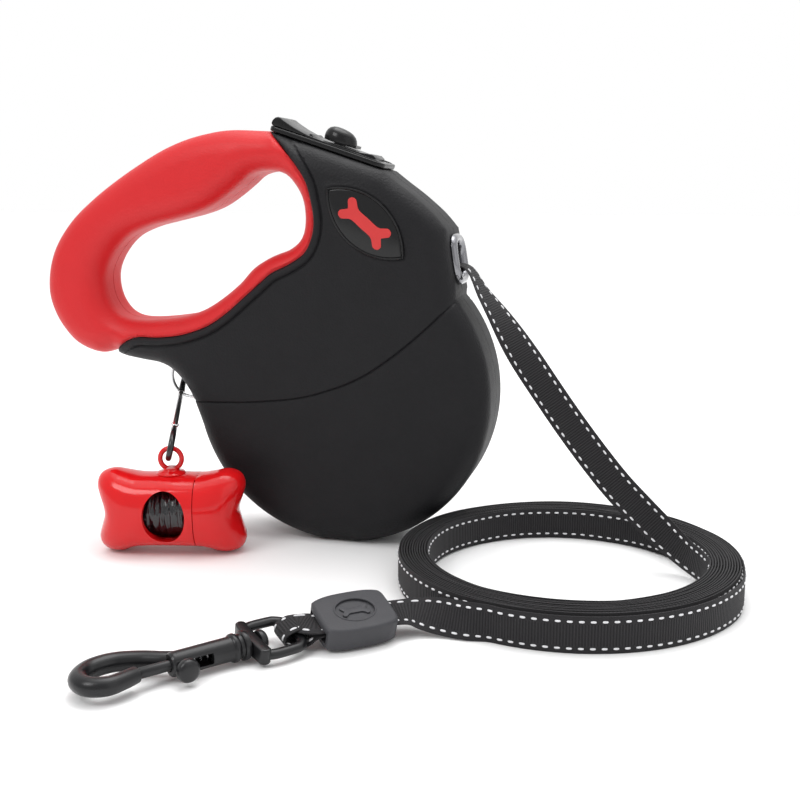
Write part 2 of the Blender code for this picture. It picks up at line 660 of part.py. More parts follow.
# ---- brake ----------------------------------------------------------------------
def make_brake():
    """Bezel on the casing, button in it, lock on the button, pawl and its spring."""
    profile = [(-23.6, 0.3), (-24.4, 2.6), (-23.6, 5.4), (-21.8, 6.2), (-19.6, 5.5), (-15, 4.2), (-10, 3.2),
               (-4, 2.5), (12, 2.3), (22.6, 1.9), (23.6, 0.3)]
    bezel = add_object("button_bezel", *prism([[Vector(p) for p in profile]], on_seat, -10.4, 10.4), BLACK_GLOSS)
    soften(bezel, 0.9, 30)
    cut(bezel, block(on_seat, (-9.2, -3, -7.0), (19.4, 9, 7.0)))

    slide = pivot("brake_pivot", on_seat(5, 0, 0))
    top = [(-8.9, -0.9), (-4.9, -0.9), (-4.9, -2.4), (19.1, -2.4), (19.1, 2.9), (13, 3.4), (4, 3.5), (-3, 2.9), (-7.4, 3.3), (-8.9, 4.0)]
    button = add_object("brake_button", *prism([[Vector(p) for p in top]], on_seat, -6.7, 6.7), BLACK_GLOSS,
                        on_seat(5, 0, 0), slide)
    join(button, block(on_seat, (-4.7, -2.4, -8.5), (18.9, -0.6, 8.5)))
    join(button, rod((PLUNGER_X, 0, 125.6), (PLUNGER_X, 0, 148.2), 1.8, 12))
    cut(button, block(on_seat, (-2.4, -3.5, -2.3), (9.6, 5, 2.3)))

    lock_spot = on_seat(1.8, 4, 0)
    lock_pivot = pivot("lock_pivot", lock_spot, slide)
    dome = []
    levels = [(3.9, 1.0), (6.4, 1.0), (8.0, 0.88), (9.0, 0.62), (9.3, 0.3)]
    sides = 24
    for h, size in levels:
        dome += [on_seat(1.8 + 6.4 * size * math.cos(math.tau * i / sides), h - 0.09 * 6.4 * size
                         * math.cos(math.tau * i / sides) * (h > 5), 5.3 * size * math.sin(math.tau * i / sides))
                 for i in range(sides)]
    faces = tube_faces(len(levels), sides, False)
    lock = add_object("lock_slider", dome, faces, BLACK_GLOSS, lock_spot, lock_pivot)
    join(lock, block(on_seat, (0.0, -1.6, -1.9), (3.6, 4.6, 1.9)))

    outline = [(-3, 121.5), (-1, 123.2), (3.2, 125.2), (8.6, 124.0), (10.3, 121), (9.5, 114), (13.4, 108),
               (12.8, 106.3), (10.9, 106.3), (5.5, 112.5), (1.5, 116), (-2.5, 117.2)]
    pawl_hub = pivot("pawl_pivot", PAWL_PIVOT)
    pawl = add_object("brake_pawl", *slab(outline, -12.0, -9.0), GREY_REEL, PAWL_PIVOT, pawl_hub)
    join(pawl, block(across, (7.2, 122.0, -11.9), (10.6, 125.2, 1.9)))
    cut(pawl, rod(PAWL_PIVOT - AXIS_Y * 14, PAWL_PIVOT - AXIS_Y * 7, 1.5 + GAP))
    add_object("pawl_pin", *rod(PAWL_PIVOT - AXIS_Y * 16.2, PAWL_PIVOT - AXIS_Y * 4.0, 1.5), STEEL)
    turns = 3
    per_turn = 12
    wire = [PAWL_PIVOT + Vector((3.0 * math.cos(math.tau * i / per_turn + 2.6), -8.0 + 3.2 * i / (turns * per_turn),
                                 3.0 * math.sin(math.tau * i / per_turn + 2.6)))
            for i in range(turns * per_turn + 1)]
    add_object("brake_spring", *sweep(wire, circle(0.4, 5)), STEEL)


def soften(obj, width, angle_deg):
    """Rounded edges by a Bevel modifier, which stays on the object."""
    step = obj.modifiers.new("rounded_edges", "BEVEL")
    step.width = width * MM
    step.segments = 2
    step.limit_method = "ANGLE"
    step.angle_limit = math.radians(angle_deg)
    step.harden_normals = False


# ---- key ring, carabiner and bag dispenser --------------------------------------
RING_CENTRE = POST - Vector((0, 0, RING_R - RING_WIRE_R - 1.5 - GAP))
HANG_ANGLE = math.radians(235)        # where on the ring the carabiner hangs
HANG_POINT = RING_CENTRE + Vector((RING_R * math.cos(HANG_ANGLE), 0, RING_R * math.sin(HANG_ANGLE)))
CARABINER_LONG = Vector((0.30, -0.904, -0.36)).normalized()
CARABINER_ROLL = math.radians(-16)
CARABINER_WIRE_R = 1.2
CARABINER_HANG = (4.2, -1.2)          # ring wire and loop wire inside the carabiner
CARABINER_LOOP = (48.0, 0.1)


def carabiner_axes():
    """Side and normal, rolled so that both the ring and the loop pass through."""
    wire = Vector((math.cos(BIN_TURN), math.sin(BIN_TURN), 0))
    first = (wire - CARABINER_LONG * wire.dot(CARABINER_LONG)).normalized()
    second = CARABINER_LONG.cross(first)
    normal = first * math.cos(CARABINER_ROLL) + second * math.sin(CARABINER_ROLL)
    return CARABINER_LONG.cross(normal), normal


CARABINER_SIDE, CARABINER_NORMAL = carabiner_axes()
CARABINER_TOP = HANG_POINT - CARABINER_LONG * CARABINER_HANG[0] - CARABINER_SIDE * CARABINER_HANG[1]
BIN_LOOP_R = 4.2
BIN_LOOP_TOP = CARABINER_TOP + CARABINER_LONG * CARABINER_LOOP[0] + CARABINER_SIDE * CARABINER_LOOP[1]
BIN_LOOP_Z = BIN_LOOP_TOP.z - BIN_LOOP_R
BIN_CENTRE = Vector((BIN_LOOP_TOP.x, BIN_LOOP_TOP.y, 0))


def bin_place(u, v, h):
    """Dispenser frame: u along it, v up, h away from the viewer."""
    return BIN_CENTRE + Vector((u * math.cos(BIN_TURN) - h * math.sin(BIN_TURN),
                                u * math.sin(BIN_TURN) + h * math.cos(BIN_TURN), v))


def bone_outline(step):
    """Bone-shaped outline, 58 by 33, in the dispenser's own u and v."""
    half = [(0, 31.5), (11, 31.3), (17, 32.2), (22.5, 33.2), (27.3, 31.4), (28.9, 27), (27.4, 21.5),
            (26.0, 16.6), (27.4, 11.6), (28.9, 6), (27, 1.8), (22.5, 0.3), (18, 0.6), (13, 2.4), (0, 2.8)]
    right = [Vector(p) for p in half]
    left = [Vector((-u, v)) for u, v in reversed(half[1:-1])]
    return smooth_line(right + left, step, closed=True)


def on_carabiner(u, v, h=0.0):
    """u down from the top bow, v to the gate side, h out of its plane."""
    return CARABINER_TOP + CARABINER_LONG * u + CARABINER_SIDE * v + CARABINER_NORMAL * h


CARABINER_LINE = [(14.0, 5.7), (8.0, 5.8), (3.2, 4.6), (0.5, 1.6), (0.3, -2.0), (2.8, -4.8), (8, -5.6),
                  (22, -5.0), (36, -4.5), (46.2, -4.6), (50.4, -3.1), (52.2, 0.1), (50.4, 3.4), (46.6, 4.7),
                  (41.0, 4.9)]
GATE_TOP = (14.7, 5.7)
GATE_PIVOT = (38.6, 5.0)


def make_carabiner_and_bin():
    ring_pivot = pivot("ring_pivot", POST)
    section = [(RING_R + p.x, 1.25 * p.y) for p in circle(RING_WIRE_R, 6)]
    add_object("key_ring", *turned(section, RING_CENTRE, AXIS_Y, 28), STEEL, POST, ring_pivot)

    carabiner_pivot = pivot("carabiner_pivot", HANG_POINT, ring_pivot)
    line = smooth_line([on_carabiner(u, v) for u, v in CARABINER_LINE], 3.2)
    add_object("carabiner_body", *sweep(line, circle(CARABINER_WIRE_R, 8), start_up=CARABINER_NORMAL), CARABINER_METAL,
               HANG_POINT, carabiner_pivot)
    gate_pivot = pivot("gate_pivot", on_carabiner(*GATE_PIVOT), carabiner_pivot)
    gate = add_object("carabiner_gate", *rod(on_carabiner(*GATE_TOP), on_carabiner(GATE_PIVOT[0] + 1.7, GATE_PIVOT[1]),
                                             1.15, 10), GATE_METAL, on_carabiner(*GATE_PIVOT), gate_pivot)
    cut(gate, rod(on_carabiner(*GATE_PIVOT, -4), on_carabiner(*GATE_PIVOT, 4), 0.75, 10))

    bin_pivot = pivot("bin_pivot", bin_place(0, BIN_LOOP_Z + BIN_LOOP_R, 0), carabiner_pivot)
    outline = bone_outline(4.0)
    cap_at = 10.6
    body_side = [p for p in outline if p.x < cap_at - GAP]
    cap_side = [p for p in outline if p.x > cap_at + GAP]
    top = max(p.y for p in outline if abs(p.x - cap_at) < 4)
    bottom = min(p.y for p in outline if abs(p.x - cap_at) < 4)
    start = next(i for i, p in enumerate(outline) if p.x < cap_at - GAP and outline[i - 1].x >= cap_at - GAP)
    body_side = (outline[start:] + outline[:start])[:len(body_side)]
    body_side = [Vector((cap_at - GAP / 2, bottom))] + body_side + [Vector((cap_at - GAP / 2, top))]
    cap_side.append(Vector((cap_at + GAP / 2, bottom)))
    cap_side.insert(0, Vector((cap_at + GAP / 2, top)))
    for name, loop, ends in (("dispenser_body", body_side, (-20.4, cap_at + 3)),
                             ("dispenser_cap", cap_side, (cap_at - 3, 20.0))):
        free = loop[1:-1]
        verts, faces = pillow(loop, free, BIN_HALF_T, 12.0)
        piece = add_object(name, [bin_place(*v) for v in verts], faces, RED_GLOSS, bin_place(0, 16.8, 0), bin_pivot)
        cut(piece, rod(bin_place(ends[0], 16.8, 0), bin_place(ends[1], 16.8, 0), 11.7, 24))
        if name == "dispenser_body":
            cut(piece, prism([oval(8.2, 10.2)], lambda u, v, h: bin_place(u - 0.6, v + 16.8, h), -25, -6))
            join(piece, rod(bin_place(0, 30.5, 0), bin_place(0, BIN_LOOP_Z - BIN_LOOP_R + 0.4, 0), 2.3, 12))
            loop_section = [(BIN_LOOP_R + p.x, p.y) for p in circle(0.9, 8)]
            join(piece, turned(loop_section, bin_place(0, BIN_LOOP_Z, 0), bin_place(0, 0, 1) - bin_place(0, 0, 0), 20))
    roll_at = bin_place(-5.4, 16.8, 0)
    roll_axis = bin_place(1, 0, 0) - bin_place(0, 0, 0)
    roll_pivot = pivot("roll_pivot", roll_at, bin_pivot)
    add_object("bag_roll", *turned([(3.6, -14.6), (10.8, -14.6), (10.8, 14.6), (3.6, 14.6)], roll_at, roll_axis, 28),
               BAG_FILM, roll_at, roll_pivot)
    add_object("bag_core", *turned([(2.6, -14.8), (3.3, -14.8), (3.3, 14.8), (2.6, 14.8)], roll_at, roll_axis, 16),
               GREY_REEL, roll_at, roll_pivot)


def pillow(loop, free, half_t, edge_r):
    """Moulding rounded on both faces, made of two rounded halves that share a rim."""
    front, faces = rounded_half([loop], [(free, False)], -1, 0.0, lambda p: half_t, edge_r)
    rim = len(loop)
    top_count = len(front) - rim
    verts = [(x, z, y) for x, y, z in front[:top_count]]
    back = [(x, z, -y) for x, y, z in front[:top_count]]
    tris = [f for f in faces if max(f) < top_count]
    all_faces = list(tris) + [tuple(i + top_count for i in reversed(f)) for f in tris]
    all_faces += [(i, (i + 1) % rim, top_count + (i + 1) % rim, top_count + i) for i in range(rim)]
    return verts + back, all_faces


# ---- webbing --------------------------------------------------------------------
LEAD_ROUTE = [(43.8, 0, 110.9), (46.8, 0, 110.9), (49.6, -0.2, 109.4), (51.8, -0.5, 106.2), (55.0, -1.0, 100.6),
              (61.5, -2.2, 91.6), (70.2, -4.6, 79.0), (79.6, -7.6, 66.4), (89.2, -10.6, 54.0),
              (99.0, -13.0, 42.0), (108.6, -14.6, 31.0), (118.2, -15.6, 21.6), (127.2, -17.4, 13.6),
              (134.6, -21.8, 8.6), (139.4, -28.6, 6.6), (141.3, -36.5, 6.2)]
TAIL_EXIT = [(66.2, -96.9, 6.1), (57.0, -95.2, 6.3), (49.3, -95.2, 6.7), (42.4, -99.0, 7.0), (36.0, -104.2, 7.0)]


def turned_between(first, last, t):
    """Direction that turns evenly from one unit vector to another."""
    angle = first.angle(last)
    return (first * math.sin((1 - t) * angle) + last * math.sin(t * angle)) / math.sin(angle)


def ease(t):
    t = max(0.0, min(1.0, t))
    return t * t * (3 - 2 * t)


def lead_across(t):
    """Across the tape: along Y in the outlet, leaning, then upright on the floor."""
    leaning = Vector((0.62, 0.10, 0.60)).normalized()
    if t < 0.5:
        return turned_between(Vector((0, 1, 0)), leaning, ease(t / 0.42))
    return turned_between(leaning, Vector((0, 0, 1)), ease((t - 0.5) / 0.42))


def sleeve_axes():
    along = Vector((math.cos(SLEEVE_HEADING), math.sin(SLEEVE_HEADING), 0))
    flat = Vector((-along.y, along.x, 0))
    wide = flat * math.cos(SLEEVE_TILT) + Vector((0, 0, math.sin(SLEEVE_TILT)))
    return along, wide, along.cross(wide)


SLEEVE_ALONG, SLEEVE_WIDE, SLEEVE_OUT = sleeve_axes()


def on_sleeve(s, w, h):
    return SLEEVE_O + SLEEVE_ALONG * s + SLEEVE_WIDE * w + SLEEVE_OUT * h


def tail_route():
    """Outermost turn on the coil's near side, then the run into the sleeve."""
    radius = COIL_OUT_R + GAP + TAPE_T / 2
    points = []
    for degrees in range(-20, -111, -10):
        a = math.radians(degrees)
        points.append(COIL_CENTRE + Vector((radius * math.cos(a), radius * math.sin(a), TAPE_W / 2 + 0.1)))
    return points + [Vector(p) for p in TAIL_EXIT]


def make_webbing():
    start = Vector((-12.4, 0, 82.9))
    end = at_outlet(0, -2.3, -1.3)
    along = (end - start).normalized()
    inside_line = [start + along * (end - start).length * i / 6 for i in range(7)]
    add_object("tape_inside", *ribbon(inside_line, lambda t: AXIS_Y, TAPE_W, TAPE_T), WEBBING)
    lead = smooth_line([Vector(p) for p in LEAD_ROUTE], 5)
    add_object("tape_lead", *ribbon(lead, lead_across, TAPE_W, TAPE_T), WEBBING)
    ring = [(COIL_IN_R, 0.0), (COIL_OUT_R, 0.0), (COIL_OUT_R, TAPE_W), (COIL_IN_R, TAPE_W)]
    add_object("tape_coil", *turned(ring, COIL_CENTRE, (0, 0, 1), 48), WEBBING)
    tail = smooth_line(tail_route(), 5)
    upright = Vector((0, 0, 1))
    add_object("tape_tail", *ribbon(tail, lambda t: turned_between(upright, SLEEVE_WIDE, ease((t - 0.70) / 0.24)),
                                    TAPE_W, TAPE_T), WEBBING)


# ---- hook end -------------------------------------------------------------------
def frame_along(heading, tilt):
    along = Vector((math.cos(heading), math.sin(heading), 0))
    flat = Vector((-along.y, along.x, 0))
    side = flat * math.cos(tilt) - Vector((0, 0, math.sin(tilt)))
    return along, side, along.cross(side)


def on_hook(u, v, h=0.0):
    """u from the swivel collar towards the bow, v to the near side, h up."""
    along, side, up = frame_along(HOOK_HEADING, 0.0)
    return HOOK_O + along * u + side * v + up * h


def on_eye(u, v, h=0.0):
    along, side, up = frame_along(HOOK_HEADING, EYE_TILT)
    return HOOK_O + along * u + side * v + up * h


EYE_END_U = -17.2
LOOP_ALONG, LOOP_SIDE, LOOP_UP = frame_along(LOOP_HEADING, LOOP_TILT)


def make_hook_end():
    # rubber sleeve with a slot for the webbing and an oval recess on top
    sleeve_loop = [(-12.2, -6.0), (-9.6, -8.8), (-3, -9.5), (5, -9.5), (9.8, -8.6), (12.2, -6.6),
                   (12.2, 6.6), (9.8, 8.6), (5, 9.5), (-3, 9.5), (-9.6, 8.8), (-12.2, 6.0)]
    sleeve = add_object("tape_sleeve", *prism([[Vector(p) for p in sleeve_loop]], on_sleeve, -4.0, 4.0), SLEEVE_RUBBER)
    soften(sleeve, 1.2, 50)
    cut(sleeve, block(on_sleeve, (-16, -6.6, -2.1), (16, 6.6, 2.1)))
    cut(sleeve, prism([oval(6.6, 5.4)], on_sleeve, 3.4, 6))

    bar = on_eye(EYE_END_U, 0)
    mouth = on_sleeve(-SLEEVE_LEN / 2 + 4, 0, 0)
    route = [mouth + SLEEVE_OUT * 0.7, on_sleeve(-12.9, 0, 0.8), bar - LOOP_ALONG * 1.6 + LOOP_UP * 2.9,
             bar + LOOP_ALONG * 1.4 + LOOP_UP * 2.9, bar + LOOP_ALONG * 4.3 + LOOP_UP * 1.4,
             bar + LOOP_ALONG * 4.3 - LOOP_UP * 1.4, bar + LOOP_ALONG * 1.4 - LOOP_UP * 2.9,
             bar - LOOP_ALONG * 1.6 - LOOP_UP * 2.9, on_sleeve(-12.9, 0, -0.8), mouth - SLEEVE_OUT * 0.7]
    add_object("tape_loop", *ribbon(smooth_line(route, 1.6), lambda t: -LOOP_SIDE, TAPE_W, TAPE_T,
                                    lambda t: 1 - 0.3 * math.sin(math.pi * t) ** 0.6), WEBBING)

    eye_pivot = pivot("eye_pivot", bar)
    arm = 8.4
    frame_line = [(0.0, arm - 1.2), (-4, arm), (-10, arm), (-14.6, arm - 0.4), (-16.8, arm - 2.4), (EYE_END_U, arm - 5),
                  (EYE_END_U, 0), (EYE_END_U, 5 - arm), (-16.8, 2.4 - arm), (-14.6, 0.4 - arm), (-10, -arm),
                  (-4, -arm), (0.0, 1.2 - arm)]
    shift = -2.4
    line = smooth_line([on_eye(u + (shift if u > -12 else 0), v) for u, v in frame_line], 2.6)
    eye = add_object("swivel_eye", *sweep(line, circle(1.6, 8), start_up=LOOP_UP), HOOK_METAL, bar, eye_pivot)
    join(eye, block(on_eye, (-4.2, -8.9, -2.5), (-1.2, 8.9, 2.5)))
    cut(eye, rod(on_eye(-8, 0), on_eye(2, 0), 2.0, 16))

    hook_pivot = pivot("hook_pivot", on_hook(0, 0), eye_pivot)
    add_object("swivel_pin", *knob([(0, -7.2), (2.4, -7.0), (3.4, -6.0), (3.4, -4.6), (1.7, -4.6), (1.7, 3.4),
                                    (0, 3.4)], HOOK_O, on_hook(1, 0) - on_hook(0, 0), 16), HOOK_METAL,
               on_hook(0, 0), hook_pivot)
    profile = [(0, -0.8), (3.8, -0.8), (4.4, -0.3), (4.4, 1.2), (3.7, 1.6), (3.7, 2.6), (4.3, 3.0), (4.3, 4.2), (3.8, 4.8),
               (3.7, 23.4), (3.1, 24.2), (0, 24.2)]
    hook = add_object("hook_body", *knob(profile, HOOK_O, on_hook(1, 0) - on_hook(0, 0), 20), HOOK_METAL,
                      on_hook(0, 0), hook_pivot)
    bow = [(19, -1.4), (24, -4.2), (30, -8.6), (37, -11.6), (44, -10.8), (48.6, -6.2), (48.0, -0.6),
           (43.6, 2.4), (38.6, 1.6), (34.4, 0.2)]
    bow_line = smooth_line([on_hook(u, v) for u, v in bow], 3.0)
    join(hook, sweep(bow_line, circle(2.9, 10), scale=lambda t: 0.86 + 0.14 * math.sin(math.pi * t)))
    cut(hook, rod(on_hook(-3, 0), on_hook(3.7, 0), 2.0, 14))
    cut(hook, rod(on_hook(5.5, 0), on_hook(33.9, 0), 2.0, 14))
    cut(hook, block(on_hook, (11.6, 0, -1.7), (23.0, 6, 1.7)))

    bolt_pivot = pivot("bolt_pivot", on_hook(21.4, 0), hook_pivot)
    bolt = add_object("hook_bolt", *rod(on_hook(17.5, 0), on_hook(33.6, 0), 1.65, 14), HOOK_METAL, on_hook(21.4, 0),
                      bolt_pivot)
    join(bolt, rod(on_hook(21.2, 0.4), on_hook(21.2, 6.4), 1.3, 10))
    join(bolt, knob([(0, 4.9), (2.6, 4.9), (3.4, 5.5), (3.4, 7.2), (2.8, 8.0), (0, 8.2)], on_hook(21.2, 0),
                    on_hook(0, 1) - on_hook(0, 0), 14))
    turns = 5
    per_turn = 8
    wire = [on_hook(6.2 + 10.6 * i / (turns * per_turn), 1.3 * math.cos(math.tau * i / per_turn),
                    1.3 * math.sin(math.tau * i / per_turn)) for i in range(turns * per_turn + 1)]
    add_object("bolt_spring", *sweep(wire, circle(0.3, 4), start_up=on_hook(1, 0) - on_hook(0, 0)), STEEL,
               on_hook(6, 0), hook_pivot)


def main():
    for obj in list(bpy.data.objects):
        bpy.data.objects.remove(obj)
    make_casing()
    make_reel()
    make_brake()
    make_carabiner_and_bin()
    make_webbing()
    make_hook_end()


main()
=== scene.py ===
"""Looks for the retractable leash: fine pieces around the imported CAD, materials, light and camera.

Lengths are in millimetres and become metres when a mesh is made. The frame is the CAD's own:
+X towards the tape outlet, +Y away from the camera, +Z up, floor at Z = 0.
"""

import json
import math

import bmesh
import bpy
import numpy as np
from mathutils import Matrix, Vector, noise
from mathutils.geometry import delaunay_2d_cdt


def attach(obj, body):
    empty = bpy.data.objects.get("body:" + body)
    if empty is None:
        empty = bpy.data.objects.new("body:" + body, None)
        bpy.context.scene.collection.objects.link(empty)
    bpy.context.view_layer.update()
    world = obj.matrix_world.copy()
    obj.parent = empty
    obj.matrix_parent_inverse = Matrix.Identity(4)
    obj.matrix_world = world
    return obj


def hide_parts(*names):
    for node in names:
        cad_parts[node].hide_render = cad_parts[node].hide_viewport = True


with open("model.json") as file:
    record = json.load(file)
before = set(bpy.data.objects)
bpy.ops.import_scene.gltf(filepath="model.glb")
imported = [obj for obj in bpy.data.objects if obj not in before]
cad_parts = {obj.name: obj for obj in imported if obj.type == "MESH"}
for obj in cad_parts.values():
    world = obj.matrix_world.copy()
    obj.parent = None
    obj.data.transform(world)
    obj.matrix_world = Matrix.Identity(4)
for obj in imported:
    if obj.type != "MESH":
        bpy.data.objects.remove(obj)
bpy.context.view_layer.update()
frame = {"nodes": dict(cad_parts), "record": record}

MM = 0.001
AXIS_Y = Vector((0, 1, 0))
AXIS_Z = Vector((0, 0, 1))

# ---- sizes shared with the CAD --------------------------------------------------
REEL_Z = 60.0
LOBE_R = 60.4
FOOT_HALF = 6.95
BODY_HALF_T = 19.0
GRIP_HALF_T = 13.5
SHELL_EDGE_R = 8.0
GRIP_EDGE_R = 9.5
WALL_T = 3.5
SEAM = 0.15
GAP = 0.3
TAPE_W = 12.0
TAPE_T = 0.9
RIB_PITCH = 0.95
COIL_CENTRE = Vector((93.0, -38.0, 0.0))
COIL_IN_R = 49.4
COIL_OUT_R = 61.4
COIL_TURNS = 12
SEAT_FRONT = Vector((17.5, 0, 146.8))
SEAT_REAR = Vector((-28.3, 0, 161.9))
OUTLET = Vector((44.4, 0, 113.3))
OUTLET_POWER = 3.0
POST = Vector((-69.0, 0, 68.4))
RING_R = 8.5
RING_WIRE_R = 0.75
POST_R = 1.5
RING_CENTRE = POST - AXIS_Z * (RING_R - RING_WIRE_R - POST_R - GAP)
BIN_TURN = math.radians(12)
BIN_HALF_T = 14.0
HOOK_O = Vector((5.2, -128.8, 5.0))
HOOK_HEADING = math.radians(230)
SLEEVE_O = Vector((33.0, -106.5, 7.0))
SLEEVE_HEADING = math.radians(40)
SLEEVE_TILT = math.radians(17)
SLEEVE_LEN = 24.5
LOOP_HEADING = math.radians(225)
EYE_TILT = math.radians(10)
LOOP_TILT = math.radians(11)
EYE_END_U = -17.2

OPENING = [(-28.7, 146.9), (-36, 145.6), (-41.5, 141.4), (-47.1, 137.2), (-54, 132.9), (-62.2, 129.8),
           (-73.1, 127.1), (-83.3, 124.5), (-91.9, 120.6), (-98, 114.7), (-102.1, 107.5), (-102.9, 101),
           (-101.3, 94.5), (-97.2, 89.3), (-91, 87), (-80.8, 87.1), (-68, 88.8), (-58.1, 91.7),
           (-49.7, 96.4), (-41.3, 102.9), (-35, 109.3), (-27.5, 113.8), (-19.5, 117), (-14.9, 121.4),
           (-13.4, 127.5), (-14, 134.8), (-16.5, 140.2), (-21.5, 145.4)]
GRIP_OUTSIDE = [(-98, 74.2), (-106.5, 72.3), (-116.4, 75.6), (-123.6, 83), (-127.7, 91.1), (-129.1, 99.2),
                (-127.7, 109), (-123.7, 118.3), (-116.2, 127.9), (-106.9, 135.8), (-97.7, 142.3),
                (-87.3, 148.7), (-75.6, 155), (-65.6, 158.9), (-55.8, 161.3), (-45, 162.6), (-28.3, 161.9)]
SEAM_LINE = [(-28.3, 161.9), (-21.9, 156.3), (-15.6, 149.2), (-11, 142), (-8.8, 134), (-8, 127.6),
             (-9, 121.5), (-12.3, 115.4), (-18.9, 111), (-25.6, 107.8), (-31, 103.3), (-37.9, 97.5),
             (-44.9, 91.6), (-53.3, 86.2), (-64.5, 82.3), (-75.8, 80.7), (-87.3, 80), (-98, 74.2)]
UNDERSIDE = [(-98, 74.2), (-95, 72), (-86, 70.6), (-77.5, 69.6), (-72, 67.4), (-67.5, 63.5),
             (-63.5, 58), (-60.6, 51), (-58.6, 45.2)]
SHOULDER = [(42.5, 125), (37.3, 130.9), (29.7, 137.5), (23, 142.5), (17.5, 146.8)]
OUTLET_LAND = [(46.3, 101.6), (42.5, 125)]
LOBE_ARC_DEG = (194.2, 400.3)
CAVITY_R = 56.0
CAVITY_DEG = (176, 404)
CAVITY_UPPER = [(41.0, 103), (38.6, 123), (32, 130.3), (21, 139), (11, 143.6), (-4.5, 147.6), (-4.2, 134),
                (-4, 127), (-5.6, 119.5), (-9.8, 112.7), (-17, 108.1), (-23.4, 104.7), (-28.6, 100.8),
                (-35.8, 94.6), (-42.6, 89), (-50.5, 83.2), (-55, 73)]
PANEL_LINE = [(-63, 55.3), (-54, 55.6), (-36, 56.4), (-16, 58.8), (-2, 62.8), (10, 68), (22, 76), (34, 86),
              (46.2, 97.6), (51, 102)]
LEAD_ROUTE = [(43.8, 0, 110.9), (46.8, 0, 110.9), (49.6, -0.2, 109.4), (51.8, -0.5, 106.2),
              (55.0, -1.0, 100.6), (61.5, -2.2, 91.6), (70.2, -4.6, 79.0), (79.6, -7.6, 66.4),
              (89.2, -10.6, 54.0),
              (99.0, -13.0, 42.0), (108.6, -14.6, 31.0), (118.2, -15.6, 21.6), (127.2, -17.4, 13.6),
              (134.6, -21.8, 8.6), (140.0, -28.6, 6.7), (142.8, -36.3, 6.4)]
TAIL_EXIT = [(66.2, -96.9, 6.1), (57.0, -95.2, 6.3), (49.3, -95.2, 6.7), (42.4, -99.0, 7.0),
             (36.0, -104.2, 7.0)]
CARABINER_LINE = [(14.0, 5.7), (8.0, 5.8), (3.2, 4.6), (0.5, 1.6), (0.3, -2.0), (2.8, -4.8), (8, -5.6),
                  (22, -5.0), (36, -4.5), (46.2, -4.6), (50.4, -3.1), (52.2, 0.1), (50.4, 3.4), (46.6, 4.7),
                  (41.0, 4.9)]
CARABINER_WIRE_R = 1.2
GATE_TOP = (14.7, 5.7)
GATE_PIVOT = (38.6, 5.0)
CAP_AT = 10.6
BIN_BORE_R = 11.7
BIN_BORE_V = 16.8
BOLT_BORE_R = 2.0
SCREWS = [(-80.0, 75.4), (-13.2, 151.6), (33.4, 124.2), (41.5, 26.2), (-43.0, 27.2)]


# ---- meshes ---------------------------------------------------------------------
def add_mesh(name, verts, faces, mats, smooth_deg=35, uvs=None, slots=None):
    """Object from points in mm; uvs is one (u, v) per vertex, slots a material index per face."""
    mesh = bpy.data.meshes.new(name)
    mesh.from_pydata([Vector(v) * MM for v in verts], [], faces)
    if uvs is not None:
        layer = mesh.uv_layers.new(name="tape")
        for loop in mesh.loops:
            layer.data[loop.index].uv = uvs[loop.vertex_index]
    for mat in mats if isinstance(mats, (list, tuple)) else [mats]:
        mesh.materials.append(mat)
    if slots is not None:
        for polygon, index in zip(mesh.polygons, slots):
            polygon.material_index = index
    bm = bmesh.new()
    bm.from_mesh(mesh)
    bmesh.ops.remove_doubles(bm, verts=bm.verts, dist=1e-6)
    bmesh.ops.recalc_face_normals(bm, faces=bm.faces)
    bm.to_mesh(mesh)
    bm.free()
    mesh.shade_smooth()
    mesh.set_sharp_from_angle(angle=math.radians(smooth_deg))
    obj = bpy.data.objects.new(name, mesh)
    bpy.context.scene.collection.objects.link(obj)
    return obj


def merged(*shapes):
    """Several (vertices, faces) shapes as one."""
    verts, faces = [], []
    for part_verts, part_faces in shapes:
        base = len(verts)
        verts += list(part_verts)
        faces += [tuple(i + base for i in face) for face in part_faces]
    return verts, faces


def shape(obj, *, cuts=(), bevel=None, smooth_deg=35):
    """Cut shapes out of obj and round its edges, then bake that into its mesh."""
    guides = []
    for i, cutter in enumerate(cuts):
        guide = add_mesh(f"{obj.name}_cut_{i}", *cutter, [])
        guides.append(guide)
        step = obj.modifiers.new("cut", "BOOLEAN")
        step.operation = "DIFFERENCE"
        step.solver = "EXACT"
        step.object = guide
    if bevel:
        step = obj.modifiers.new("edges", "BEVEL")
        step.width = bevel[0] * MM
        step.segments = bevel[1]
        step.limit_method = "ANGLE"
        step.angle_limit = math.radians(bevel[2])
    bpy.context.view_layer.update()
    baked = bpy.data.meshes.new_from_object(obj.evaluated_get(bpy.context.evaluated_depsgraph_get()))
    obj.modifiers.clear()
    obj.data = baked
    baked.shade_smooth()
    baked.set_sharp_from_angle(angle=math.radians(smooth_deg))
    for guide in guides:
        bpy.data.objects.remove(guide)
    return obj


def fit(obj, body, slot, *nodes):
    """Put a finished piece on its CAD body, in place of these CAD nodes."""
    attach(obj, body)
    if nodes:
        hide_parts(*nodes)
    return obj


def piece(name, solid, mat, body, slot, *nodes, cuts=(), bevel=None, smooth_deg=35):
    """Make, shape and fit one piece."""
    obj = add_mesh(name, *solid, mat, smooth_deg)
    if cuts or bevel:
        shape(obj, cuts=cuts, bevel=bevel, smooth_deg=smooth_deg)
    return fit(obj, body, slot, *nodes)


